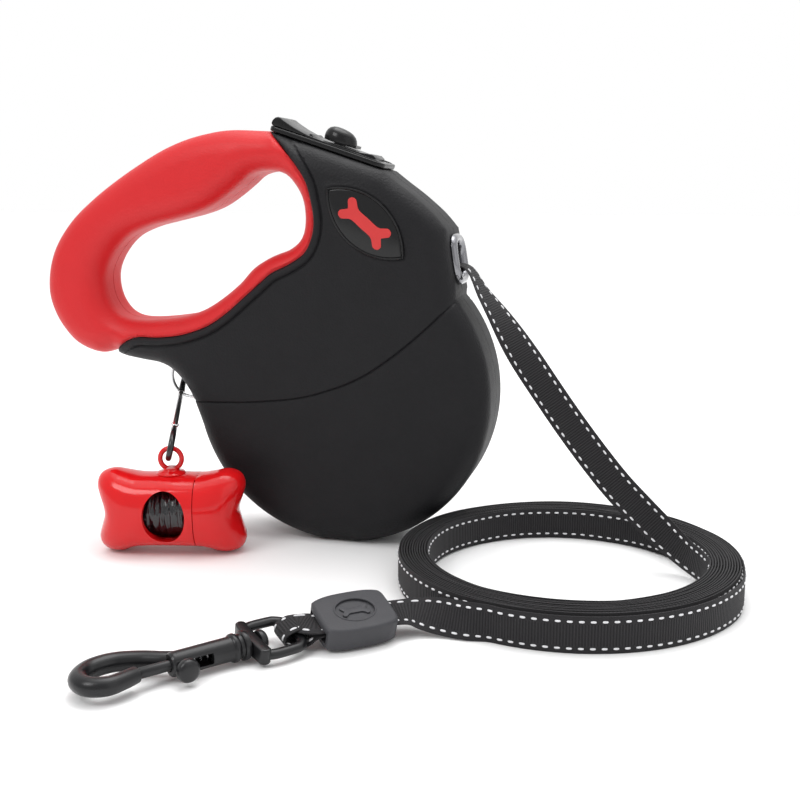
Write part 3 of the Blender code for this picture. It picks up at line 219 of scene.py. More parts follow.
# ---- outlines -------------------------------------------------------------------
def smooth_line(points, step, closed=False):
    """Catmull-Rom curve through the points, sampled about every `step` mm."""
    pts = [Vector(p) for p in points]
    count = len(pts)
    spans = count if closed else count - 1
    result = []
    for i in range(spans):
        p1, p2 = pts[i], pts[(i + 1) % count]
        p0 = pts[i - 1] if (closed or i > 0) else p1 * 2 - p2
        p3 = pts[(i + 2) % count] if (closed or i + 2 < count) else p2 * 2 - p1
        parts = max(1, round((p2 - p1).length / step))
        for k in range(parts):
            t = k / parts
            result.append(0.5 * (2 * p1 + (p2 - p0) * t + (2 * p0 - 5 * p1 + 4 * p2 - p3) * t ** 2
                                 + (3 * p1 - p0 - 3 * p2 + p3) * t ** 3))
    if not closed:
        result.append(pts[-1])
    return result


def resampled(path, count):
    """The same open line with evenly spaced points."""
    lengths = [0.0]
    for a, b in zip(path, path[1:]):
        lengths.append(lengths[-1] + (b - a).length)
    result = []
    k = 0
    for i in range(count):
        target = lengths[-1] * i / (count - 1)
        while k < len(path) - 2 and lengths[k + 1] < target:
            k += 1
        t = (target - lengths[k]) / max(lengths[k + 1] - lengths[k], 1e-9)
        result.append(path[k].lerp(path[k + 1], min(1.0, t)))
    return result


def arc(centre, radius, start_deg, end_deg, step):
    parts = max(3, round(abs(math.radians(end_deg - start_deg)) * radius / step))
    angles = [math.radians(start_deg + (end_deg - start_deg) * i / parts) for i in range(parts + 1)]
    return [Vector((centre[0] + radius * math.cos(a), centre[1] + radius * math.sin(a))) for a in angles]


def shifted(line, distance, closed=False):
    """Line moved sideways, to the left of its direction."""
    moved = []
    count = len(line)
    for i, point in enumerate(line):
        before = line[i - 1] if closed or i else line[0]
        after = line[(i + 1) % count] if closed or i + 1 < count else line[-1]
        along = (after - before).normalized()
        moved.append(point + Vector((-along.y, along.x)) * distance)
    return moved


def distances(points, lines):
    """Distance from each point to the nearest of several (line, closed), as an array."""
    pts = np.array([(p[0], p[1]) for p in points])
    best = np.full(len(pts), 1e9)
    for line, closed in lines:
        ends = np.array([(p[0], p[1]) for p in line])
        spans = zip(ends, np.roll(ends, -1, axis=0)) if closed else zip(ends[:-1], ends[1:])
        for a, b in spans:
            ab = b - a
            t = np.clip(((pts - a) @ ab) / max(ab @ ab, 1e-9), 0, 1)
            gap = pts - a - t[:, None] * ab
            best = np.minimum(best, np.hypot(gap[:, 0], gap[:, 1]))
    return best


def within(points, polygon):
    """Which points are inside the polygon, as an array."""
    pts = np.array([(p[0], p[1]) for p in points])
    hit = np.zeros(len(pts), bool)
    for i, a in enumerate(polygon):
        b = polygon[i - 1]
        if a[1] != b[1]:
            crosses = (a[1] > pts[:, 1]) != (b[1] > pts[:, 1])
            hit ^= crosses & (pts[:, 0] < (b[0] - a[0]) * (pts[:, 1] - a[1]) / (b[1] - a[1]) + a[0])
    return hit


def triangulate(loops, extra=(), chains=()):
    """Fill the first loop less the others, through extra points and open chains."""
    points, edges = [], []
    for loop in loops:
        start = len(points)
        points += list(loop)
        edges += [(start + i, start + (i + 1) % len(loop)) for i in range(len(loop))]
    for chain in chains:
        start = len(points)
        points += list(chain)
        edges += [(start + i, start + i + 1) for i in range(len(chain) - 1)]
    out, _, tris, *_ = delaunay_2d_cdt(points + list(extra), edges, [], 0, 1e-6)
    middles = [(out[a] + out[b] + out[c]) / 3 for a, b, c in tris]
    keep = within(middles, loops[0])
    for hole in loops[1:]:
        keep &= ~within(middles, hole)
    return out, [tuple(tri) for tri, kept in zip(tris, keep) if kept]


def half_thickness(points):
    """Half thickness of the casing, thinner from the reel towards the handle."""
    pts = np.array([(p[0], p[1]) for p in points])
    t = np.clip((np.hypot(pts[:, 0] - 5, pts[:, 1] - 78) - 55) / 65, 0, 1)
    return BODY_HALF_T + (GRIP_HALF_T - BODY_HALF_T) * t * t * (3 - 2 * t)


def hex_grid(low, high, pitch):
    rows = int((high[1] - low[1]) / (pitch * 0.866)) + 1
    return [Vector((low[0] + pitch * (i + 0.5 * (j % 2)), low[1] + pitch * 0.866 * j))
            for j in range(rows) for i in range(int((high[0] - low[0]) / pitch) + 1)]


def moulding(loops, free_lines, side, part_y, edge_r, pitch, relief):
    """Half a moulding as a height field. relief is [(line, closed, offsets, depth of distance)]."""
    spots = []
    for depth in (0.12, 0.45, 1.0, 1.9, 3.1, 4.6, 6.2, edge_r):
        for line, closed in free_lines:
            for way in (depth, -depth):
                ring = shifted(line, way, closed)
                clear = distances(ring, free_lines) > depth - 0.03
                spots += [p for p, ok in zip(ring, clear) if ok]
    for line, closed, offsets, _ in relief:
        for offset in offsets:
            spots += shifted(line, offset, closed)
    xs = [p[0] for p in loops[0]]
    zs = [p[1] for p in loops[0]]
    grid = hex_grid((min(xs), min(zs)), (max(xs), max(zs)), pitch)
    taken = distances(grid, free_lines) < edge_r * 0.85
    for line, closed, offsets, _ in relief:
        taken |= distances(grid, [(line, closed)]) < max(abs(o) for o in offsets) + 0.5
    spots += [p for p, skip in zip(grid, taken) if not skip]
    keep = within(spots, loops[0]) & (distances(spots, [(loop, True) for loop in loops]) > 0.1)
    for hole in loops[1:]:
        keep &= ~within(spots, hole)
    flat, tris = triangulate(loops, [p for p, ok in zip(spots, keep) if ok])
    rim = sum(len(loop) for loop in loops)
    depth = np.minimum(distances(flat, free_lines), edge_r)
    height = half_thickness(flat) - edge_r + np.sqrt(np.maximum(0, edge_r ** 2 - (edge_r - depth) ** 2))
    for line, closed, _, profile in relief:
        height += profile(distances(flat, [(line, closed)]))
    verts = [(p[0], side * float(h), p[1]) for p, h in zip(flat, height)]
    verts += [(p[0], part_y, p[1]) for p in flat[:rim]]
    base = len(flat)
    faces = list(tris)
    start = 0
    for loop in loops:
        size = len(loop)
        faces += [(start + i, start + (i + 1) % size, base + start + (i + 1) % size, base + start + i)
                  for i in range(size)]
        start += size
    _, cap = triangulate(loops)
    faces += [tuple(base + i for i in reversed(tri)) for tri in cap]
    return verts, faces


# ---- basic solids ---------------------------------------------------------------
def prism(loops, place, low, high):
    flat, tris = triangulate(loops)
    count = len(flat)
    verts = [place(p[0], p[1], low) for p in flat] + [place(p[0], p[1], high) for p in flat]
    faces = [tuple(reversed(t)) for t in tris] + [tuple(i + count for i in t) for t in tris]
    start = 0
    for loop in loops:
        size = len(loop)
        faces += [(start + i, start + (i + 1) % size, count + start + (i + 1) % size, count + start + i)
                  for i in range(size)]
        start += size
    return verts, faces


def extruded(outline, place, low, high):
    """Solid from one simple outline, with a single polygon at each end."""
    count = len(outline)
    verts = [place(p[0], p[1], low) for p in outline] + [place(p[0], p[1], high) for p in outline]
    faces = [tuple(range(count))[::-1], tuple(range(count, 2 * count))]
    faces += [(i, (i + 1) % count, count + (i + 1) % count, count + i) for i in range(count)]
    return verts, faces


def across(u, v, h):
    return Vector((u, h, v))


def circle(radius, sides, centre=(0, 0)):
    return [Vector((centre[0] + radius * math.cos(math.tau * i / sides),
                    centre[1] + radius * math.sin(math.tau * i / sides))) for i in range(sides)]


def oval(half_a, half_b, sides=48, power=2.0):
    points = []
    for i in range(sides):
        c, s = math.cos(math.tau * i / sides), math.sin(math.tau * i / sides)
        points.append(Vector((half_a * math.copysign(abs(c) ** (2 / power), c),
                              half_b * math.copysign(abs(s) ** (2 / power), s))))
    return points


def rod(start, end, radius, sides=28):
    start, end = Vector(start), Vector(end)
    turn = (end - start).to_track_quat("Z", "Y")
    return extruded(circle(radius, sides), lambda u, v, h: start + turn @ Vector((u, v, h)), 0,
                    (end - start).length)


def turned(profile, centre, axis, sides=64, closed=True):
    """Turn a profile of (radius, height) about an axis; an open one starts and ends on it."""
    centre = Vector(centre)
    turn = Vector(axis).to_track_quat("Z", "Y")
    ring = profile if closed else profile[1:-1]
    count = len(ring)
    verts = []
    for i in range(sides):
        a = math.tau * i / sides
        verts += [centre + turn @ Vector((r * math.cos(a), r * math.sin(a), h)) for r, h in ring]
    faces = []
    for i in range(sides):
        here, there = i * count, ((i + 1) % sides) * count
        for k in range(count if closed else count - 1):
            m = (k + 1) % count
            faces.append((here + k, there + k, there + m, here + m))
    if not closed:
        top = len(verts)
        verts += [centre + turn @ Vector((0, 0, h)) for h in (profile[0][1], profile[-1][1])]
        for i in range(sides):
            here, there = i * count, ((i + 1) % sides) * count
            faces += [(top, there, here), (top + 1, here + count - 1, there + count - 1)]
    return verts, faces


def block(place, low, high):
    corners = [(low[0], low[1]), (high[0], low[1]), (high[0], high[1]), (low[0], high[1])]
    return extruded(corners, place, low[2], high[2])


def tube_faces(rings, sides, closed):
    faces = []
    for i in range(rings if closed else rings - 1):
        a, b = i * sides, ((i + 1) % rings) * sides
        faces += [(a + k, a + (k + 1) % sides, b + (k + 1) % sides, b + k) for k in range(sides)]
    if not closed:
        faces += [tuple(range(sides))[::-1], tuple(range((rings - 1) * sides, rings * sides))]
    return faces


def sweep(path, section, closed=False, start_up=AXIS_Z, scale=None):
    """Sweep a section of (side, up) points along a path without twist."""
    count = len(path)
    verts = []
    up = Vector(start_up)
    for i, point in enumerate(path):
        before = path[i - 1] if closed or i else path[0]
        after = path[(i + 1) % count] if closed or i + 1 < count else path[-1]
        along = (after - before).normalized()
        up = (up - along * up.dot(along)).normalized()
        side = along.cross(up)
        size = scale(i / (count - 1)) if scale else 1.0
        verts += [point + side * s * size + up * u * size for s, u in section]
    return verts, tube_faces(count, len(section), closed)


def ease(t):
    t = max(0.0, min(1.0, t))
    return t * t * (3 - 2 * t)


def turned_between(first, last, t):
    angle = first.angle(last)
    return (first * math.sin((1 - t) * angle) + last * math.sin(t * angle)) / math.sin(angle)


# ---- materials ------------------------------------------------------------------
def add_node(tree, kind, **values):
    """A shader node with its settings and unlinked inputs set by name."""
    node = tree.nodes.new(kind)
    for key, value in values.items():
        if key in node.inputs:
            node.inputs[key].default_value = value
        else:
            setattr(node, key, value)
    return node


def finish_of(name, colour, roughness, metallic=0.0, spread=0.0, shade=None, bumps=(), vary=0.0,
              edge_sheen=0.0, **fixed):
    """Principled material with uneven colour and roughness, and bump layers.

    bumps: (kind, scale per metre, height in mm, stretch); spread varies roughness, vary colour.
    The edge setting lightens raised edges a little, as a painted highlight. fixed sets plain sockets such as
    coat or sheen."""
    mat = bpy.data.materials.new(name)
    mat.use_nodes = True
    tree = mat.node_tree
    link = tree.links.new
    shader = tree.nodes["Principled BSDF"]
    shader.inputs["Metallic"].default_value = metallic
    for socket, value in fixed.items():
        shader.inputs[socket.replace("_", " ")].default_value = value
    place = add_node(tree, "ShaderNodeTexCoord").outputs["Object"]

    def wash(scale, detail=4.0):
        cloud = add_node(tree, "ShaderNodeTexNoise", Scale=scale, Detail=detail)
        link(place, cloud.inputs["Vector"])
        return cloud.outputs["Fac"]

    ramp = add_node(tree, "ShaderNodeMapRange")
    ramp.inputs["To Min"].default_value = max(0.02, roughness - spread)
    ramp.inputs["To Max"].default_value = min(1.0, roughness + spread)
    link(wash(160.0, 6.0), ramp.inputs["Value"])
    link(ramp.outputs["Result"], shader.inputs["Roughness"])

    mix = add_node(tree, "ShaderNodeMix", data_type="RGBA")
    low = [c * (1 - vary) for c in colour]
    high = [min(1.0, c * (1 + vary)) for c in colour]
    mix.inputs["A"].default_value = (*low, 1)
    mix.inputs["B"].default_value = (*(shade or high), 1)
    link(wash(90.0), mix.inputs["Factor"])
    link(mix.outputs["Result"], shader.inputs["Base Color"])
    # painted highlight: convex edges, found by pointiness, are mixed towards a lighter copy of the colour
    if edge_sheen:
        edge = add_node(tree, "ShaderNodeNewGeometry").outputs["Pointiness"]
        ramp = add_node(tree, "ShaderNodeMapRange")
        ramp.inputs["From Min"].default_value = 0.52
        ramp.inputs["From Max"].default_value = 0.60
        ramp.inputs["To Max"].default_value = edge_sheen
        link(edge, ramp.inputs["Value"])
        edge_sheen_mix = add_node(tree, "ShaderNodeMix", data_type="RGBA")
        edge_sheen_mix.inputs["B"].default_value = (*[min(1.0, c * 2.2 + 0.02) for c in colour], 1)
        link(mix.outputs["Result"], edge_sheen_mix.inputs["A"])
        link(ramp.outputs["Result"], edge_sheen_mix.inputs["Factor"])
        link(edge_sheen_mix.outputs["Result"], shader.inputs["Base Color"])

    previous = None
    for kind, scale, height, stretch in bumps:
        at = place
        if stretch:
            mapping = add_node(tree, "ShaderNodeMapping")
            mapping.inputs["Scale"].default_value = stretch
            link(place, mapping.inputs["Vector"])
            at = mapping.outputs["Vector"]
        if kind == "cells":
            source = add_node(tree, "ShaderNodeTexVoronoi", Scale=scale)
            value = source.outputs["Distance"]
        else:
            source = add_node(tree, "ShaderNodeTexNoise", Scale=scale, Detail=3.0)
            value = source.outputs["Fac"]
        link(at, source.inputs["Vector"])
        bump = add_node(tree, "ShaderNodeBump", Strength=1.0, Distance=height * MM)
        link(value, bump.inputs["Height"])
        if previous:
            link(previous, bump.inputs["Normal"])
        previous = bump.outputs["Normal"]
    if previous:
        link(previous, shader.inputs["Normal"])
    return mat


def webbing_material():
    """Ribbed nylon webbing. The tape's UV map holds mm across and mm along."""
    mat = bpy.data.materials.new("ribbed_webbing")
    mat.use_nodes = True
    tree = mat.node_tree
    link = tree.links.new
    shader = tree.nodes["Principled BSDF"]
    shader.inputs["Roughness"].default_value = 0.72
    shader.inputs["Sheen Weight"].default_value = 0.06
    shader.inputs["Sheen Roughness"].default_value = 0.45
    shader.inputs["Specular IOR Level"].default_value = 0.2
    uv = add_node(tree, "ShaderNodeUVMap", uv_map="tape").outputs["UV"]
    split = add_node(tree, "ShaderNodeSeparateXYZ")
    link(uv, split.inputs["Vector"])

    def maths(operation, first, second=None, third=None):
        node = add_node(tree, "ShaderNodeMath", operation=operation)
        for i, value in enumerate((first, second, third)):
            if value is None:
                continue
            if isinstance(value, (int, float)):
                node.inputs[i].default_value = value
            else:
                link(value, node.inputs[i])
        return node.outputs[0]

    u, v = split.outputs["X"], split.outputs["Y"]
    rib = maths("SINE", maths("MULTIPLY", v, math.tau / RIB_PITCH))
    yarn = maths("SINE", maths("MULTIPLY", maths("ADD", u, maths("MULTIPLY", v, 0.35)), math.tau / 0.42))
    centre = maths("LESS_THAN", maths("ABSOLUTE", u), 3.5)
    height = maths("ADD", maths("MULTIPLY", maths("MULTIPLY", rib, centre), 0.5),
                   maths("MULTIPLY", yarn, 0.22))
    fuzz = add_node(tree, "ShaderNodeTexNoise", Scale=2.6, Detail=5.0)
    link(uv, fuzz.inputs["Vector"])
    height = maths("ADD", height, maths("MULTIPLY", fuzz.outputs["Fac"], 0.5))
    bump = add_node(tree, "ShaderNodeBump", Strength=0.9, Distance=0.22 * MM)
    link(height, bump.inputs["Height"])
    link(bump.outputs["Normal"], shader.inputs["Normal"])
    # painted shade and highlight: colour follows the bump height, darker in the rib and yarn valleys and
    # lighter on their tops
    mix = add_node(tree, "ShaderNodeMix", data_type="RGBA")
    mix.inputs["A"].default_value = (0.006, 0.006, 0.0065, 1)
    mix.inputs["B"].default_value = (0.036, 0.034, 0.037, 1)
    level = add_node(tree, "ShaderNodeMapRange")
    level.inputs["From Min"].default_value = -0.6
    level.inputs["From Max"].default_value = 1.2
    link(height, level.inputs["Value"])
    link(level.outputs["Result"], mix.inputs["Factor"])
    link(mix.outputs["Result"], shader.inputs["Base Color"])
    return mat


SHELL = finish_of("casing_black", (0.0105, 0.0103, 0.0115), 0.52, spread=0.07, vary=0.16, edge_sheen=0.25,
                  bumps=[("cells", 1250.0, 0.10, None), ("noise", 420.0, 0.06, None)],
                  Specular_IOR_Level=0.16)
GRIP = finish_of("grip_red", (0.54, 0.013, 0.016), 0.46, spread=0.06, vary=0.05, edge_sheen=0.0,
                 bumps=[("cells", 1500.0, 0.05, None), ("noise", 300.0, 0.04, None)],
                 Specular_IOR_Level=0.3)
GLOSS = finish_of("button_black", (0.006, 0.006, 0.0065), 0.26, spread=0.06, vary=0.15, edge_sheen=0.2,
                  bumps=[("noise", 900.0, 0.01, None)], Coat_Weight=0.12, Coat_Roughness=0.12,
                  Specular_IOR_Level=0.2)
LENS = finish_of("badge_black", (0.006, 0.006, 0.0065), 0.18, spread=0.05, vary=0.2,
                 bumps=[("noise", 500.0, 0.006, None)], Coat_Weight=0.15, Coat_Roughness=0.06,
                 Specular_IOR_Level=0.25)
EMBLEM = finish_of("emblem_red", (0.52, 0.02, 0.02), 0.35, spread=0.05, vary=0.1,
                   bumps=[("noise", 900.0, 0.01, None)])
PLASTIC = finish_of("plastic_grey", (0.3, 0.3, 0.31), 0.5, spread=0.05, vary=0.06,
                    bumps=[("noise", 700.0, 0.02, None)])
STEEL = finish_of("bright_steel", (0.62, 0.62, 0.63), 0.2, 1.0, spread=0.08, vary=0.06,
                  bumps=[("noise", 1400.0, 0.006, (1, 1, 6))], Anisotropic=0.3)
EYELET = finish_of("outlet_dark_chrome", (0.22, 0.22, 0.235), 0.14, 0.85, spread=0.05, vary=0.08,
                   bumps=[("noise", 500.0, 0.006, None)], Coat_Weight=0.3)
HOOK = finish_of("hook_gunmetal", (0.008, 0.008, 0.009), 0.3, 0.2, spread=0.07, vary=0.15, edge_sheen=0.35,
                 bumps=[("noise", 380.0, 0.025, None), ("cells", 1600.0, 0.012, None)],
                 Coat_Weight=0.12, Coat_Roughness=0.2, Specular_IOR_Level=0.35)
ENAMEL = finish_of("carabiner_black", (0.007, 0.007, 0.008), 0.22, spread=0.06, vary=0.2, edge_sheen=0.5,
                   bumps=[("noise", 700.0, 0.012, None)], Coat_Weight=0.2, Coat_Roughness=0.1)
CHROME = finish_of("gate_chrome", (0.78, 0.78, 0.79), 0.14, 1.0, spread=0.06, vary=0.04,
                   bumps=[("noise", 900.0, 0.008, None)])
RED = finish_of("dispenser_red", (0.6, 0.006, 0.008), 0.15, spread=0.04, vary=0.05,
                bumps=[("noise", 220.0, 0.025, None)], Coat_Weight=0.15, Coat_Roughness=0.05,
                Specular_IOR_Level=0.3, Subsurface_Weight=0.12, Subsurface_Scale=0.004)
FILM = finish_of("bag_film", (0.006, 0.006, 0.008), 0.2, spread=0.08, vary=0.3,
                 bumps=[("noise", 240.0, 0.9, (1.0, 1.0, 0.35)), ("noise", 700.0, 0.25, None)],
                 Coat_Weight=0.4, Coat_Roughness=0.1)
RUBBER = finish_of("sleeve_rubber", (0.045, 0.045, 0.05), 0.55, spread=0.07, vary=0.12, edge_sheen=0.2,
                   bumps=[("cells", 1700.0, 0.04, None), ("noise", 350.0, 0.05, None)],
                   Specular_IOR_Level=0.3)
THREAD = finish_of("reflective_thread", (0.66, 0.66, 0.68), 0.42, spread=0.1, vary=0.06,
                   bumps=[("noise", 3200.0, 0.05, (4, 1, 1))], Sheen_Weight=0.3)
WEBBING = webbing_material()


# ---- casing ---------------------------------------------------------------------
FINE = 1.8            # spacing of points along the casing's outlines
FACE_PITCH = 2.6      # spacing of points over its faces


def lobe_outline(step):
    half = math.degrees(math.asin(FOOT_HALF / LOBE_R))
    left = arc((0, REEL_Z), LOBE_R, LOBE_ARC_DEG[0], 270 - half, step)
    right = arc((0, REEL_Z), LOBE_R, 270 + half, LOBE_ARC_DEG[1], step)
    left[-1] = Vector((-FOOT_HALF, 0))
    right[0] = Vector((FOOT_HALF, 0))
    return left + right


def shell_lines():
    free = smooth_line(UNDERSIDE, FINE)[:-1] + lobe_outline(FINE) + smooth_line(OUTLET_LAND, FINE)[:-1]
    free += smooth_line(SHOULDER, FINE)
    seat = 20
    free += [Vector((SEAT_FRONT.x + (SEAT_REAR.x - SEAT_FRONT.x) * i / seat,
                     SEAT_FRONT.z + (SEAT_REAR.z - SEAT_FRONT.z) * i / seat)) for i in range(1, seat + 1)]
    seam = smooth_line(SEAM_LINE, FINE)
    free = [free[0] + Vector((0.6, 0.05))] + free[1:-1] + [free[-1] + Vector((0.4, -0.2))]
    return free, shifted(seam, SEAM)[1:-1]


def on_seat(s, h, y):
    along = (SEAT_FRONT - SEAT_REAR).normalized()
    out = Vector((-along.z, 0, along.x))
    return (SEAT_FRONT + SEAT_REAR) / 2 + along * s + out * h + AXIS_Y * y


OUTLET_UP = Vector((OUTLET_LAND[1][0] - OUTLET_LAND[0][0], 0,
                    OUTLET_LAND[1][1] - OUTLET_LAND[0][1])).normalized()
OUTLET_OUT = Vector((OUTLET_UP.z, 0, -OUTLET_UP.x))


def at_outlet(y, u, h):
    return OUTLET + AXIS_Y * y + OUTLET_UP * u + OUTLET_OUT * h


def groove(width, depth):
    """Soft groove: depth at distance 0, gone at a few widths."""
    return lambda d: -depth * np.exp(-(d / width) ** 2)


def shell_seam(d):
    """Raised bead beside the grip, with a groove behind it and a rounded edge."""
    bead = 0.55 * np.exp(-((d - 1.5) / 0.95) ** 2)
    return bead - 0.75 * np.exp(-((d - 3.3) / 0.42) ** 2) - 0.8 * np.exp(-(d / 0.35) ** 2)


def grip_seam(d):
    return -1.0 * np.exp(-(d / 0.7) ** 2)


BADGE_AT = Vector((12.9, 127.2))
BADGE_TILT = math.radians(-41)
BADGE_LONG = 19.0
BADGE_SHORT = 9.2


def badge_outline(extra=0.0, parts=40):
    """Pointed oval made of two arcs."""
    long, short = BADGE_LONG + extra * 1.6, BADGE_SHORT + extra
    radius = (long ** 2 + short ** 2) / (2 * short)
    reach = math.asin(long / radius)
    outline = []
    for sign in (1, -1):
        for i in range(parts):
            a = sign * reach * (1 - 2 * i / parts)
            u, v = -radius * math.sin(a), sign * (radius * math.cos(a) - radius + short)
            outline.append(on_badge(u, v))
    return outline


def on_badge(u, v):
    c, s = math.cos(BADGE_TILT), math.sin(BADGE_TILT)
    return Vector((u * c - v * s, u * s + v * c)) + BADGE_AT


def bone_outline(half_long, half_wide, step):
    """Bone silhouette centred on the origin."""
    quarter = [(0, 0.5), (0.45, 0.5), (0.62, 0.72), (0.78, 1.0), (0.95, 0.9), (1.0, 0.55),
               (0.88, 0.22), (0.8, 0.0)]
    right = [Vector((u * half_long, v * half_wide)) for u, v in quarter]
    lower = [Vector((p.x, -p.y)) for p in reversed(right[:-1])]
    left = [Vector((-p.x, p.y)) for p in reversed(right[1:-1])]
    left_low = [Vector((-p.x, -p.y)) for p in right[1:]]
    return smooth_line(right + lower[:-1] + [lower[-1]] + left_low + left, step, closed=True)


def casing_half(name, side):
    part_y = GAP if side < 0 else 2 * GAP
    free, seam = shell_lines()
    panel = smooth_line(PANEL_LINE, 1.0)
    lines = [(panel, False, (-1.1, -0.6, -0.3, 0, 0.3, 0.6, 1.1), groove(0.38, 0.65)),
             (seam, False, (0.12, 0.4, 0.8, 1.3, 1.9, 2.5, 2.9, 3.2, 3.5, 4.0, 4.8), shell_seam),
             (badge_outline(1.0), True, (-1.3, -0.7, 0, 0.5, 1.0), lambda d: 0.35 * np.exp(-(d / 0.7) ** 2))]
    solid = moulding([free + seam], [(free, False)], side, part_y, SHELL_EDGE_R, FACE_PITCH, lines)
    shell = add_mesh(name, *solid, SHELL)
    inner = side * (BODY_HALF_T - WALL_T)
    cavity = arc((0, REEL_Z), CAVITY_R, *CAVITY_DEG, 4) + [Vector(p) for p in CAVITY_UPPER]
    cuts = [extruded(cavity, across, *sorted((inner, part_y - side * 5))),
            prism([oval(8.6 + GAP, 8.0 + GAP, 64, OUTLET_POWER)], at_outlet, -9, 6),
            block(on_seat, (-9.6, -4.6, -9.0), (19.8, 6, 9.0)),
            rod(on_seat(16.3, -12, 0), on_seat(16.3, 0, 0), 3.4),
            rod(RING_CENTRE - AXIS_Y * 1.8, RING_CENTRE + AXIS_Y * 1.8, RING_R + 2.1, 48)]
    if side > 0:
        for x, z in SCREWS:
            cuts.append(rod((x, 14.5, z), (x, 25, z), 3.1))
    shape(shell, cuts=cuts, smooth_deg=38)
    return fit(shell, "casing", "shell", name)


def grip_half(name, side):
    part_y = 0.0 if side < 0 else GAP
    outside = smooth_line(GRIP_OUTSIDE, FINE)
    seam = shifted(smooth_line(SEAM_LINE, FINE), -SEAM)[1:-1]
    opening = smooth_line(OPENING, FINE, closed=True)
    free = [(outside, False), (opening, True)]
    lines = [(seam, False, (-0.15, -0.4, -0.8, -1.3, -2.0), grip_seam)]
    solid = moulding([outside + seam, opening], free, side, part_y, GRIP_EDGE_R, FACE_PITCH, lines)
    grip = add_mesh(name, *solid, GRIP)
    return fit(grip, "casing", "grip", name)


def make_badge(name, side):
    """Lens, rim and a plain raised bone emblem."""
    face = side * BODY_HALF_T

    def out(u, v, h):
        return Vector((u, face + side * h, v))

    piece(name, extruded(badge_outline(-0.2), out, 0.15, 1.3), LENS, "casing", "badge", name,
          bevel=(0.45, 3, 40))
    rim_path = [out(p.x, p.y, 1.0) for p in badge_outline(0.15)]
    piece(f"{name}_rim", sweep(rim_path, circle(0.42, 10), closed=True, start_up=AXIS_Y), GLOSS, "casing",
          "badge")
    emblem = [on_badge(p.x, p.y) for p in bone_outline(10.5, 4.6, 1.0)]
    piece(f"{name}_emblem", prism([emblem], out, 1.2, 1.55), EMBLEM, "casing", "badge")


def make_casing():
    casing_half("shell_front", -1)
    casing_half("shell_back", 1)
    grip_half("grip_front", -1)
    grip_half("grip_back", 1)
    make_badge("badge_front", -1)
    make_badge("badge_back", 1)
    section = [(0.2, -5.0), (0.0, -2.0), (0.0, 0.3), (0.25, 1.2), (0.8, 1.9), (1.5, 2.3), (2.3, 2.3),
               (3.0, 1.9), (3.5, 1.2), (3.65, 0.5), (3.6, GAP), (1.8, GAP), (1.8, -5.0)]
    sides = 72
    verts = [at_outlet(p.x, p.y, h) for off, h in section
             for p in oval(6.8 + off, 6.2 + off, sides, OUTLET_POWER)]
    piece("outlet_eyelet", (verts, tube_faces(len(section), sides, True)), EYELET, "casing", "outlet",
          "outlet_eyelet", smooth_deg=50)
    for number, (x, z) in enumerate(SCREWS, 1):
        top = 16.4 if number == 1 else 16.9
        profile = [(0, -9), (1.2, -9), (1.2, 14.9), (2.7, 14.9), (2.75, top - 1.2), (2.5, top - 0.5),
                   (1.9, top - 0.1), (0, top)]
        slot_cuts = [block(lambda u, v, h, a=a: Vector((x + u * math.cos(a) - v * math.sin(a), h,
                                                        z + u * math.sin(a) + v * math.cos(a))),
                           (-1.7, -0.3, top - 0.9), (1.7, 0.3, 20)) for a in (0.4, 0.4 + math.pi / 2)]
        piece(f"casing_screw_{number}", turned(profile, (x, 0, z), AXIS_Y, 32, False), STEEL, "casing",
              "steel",
              f"casing_screw_{number}", cuts=slot_cuts)


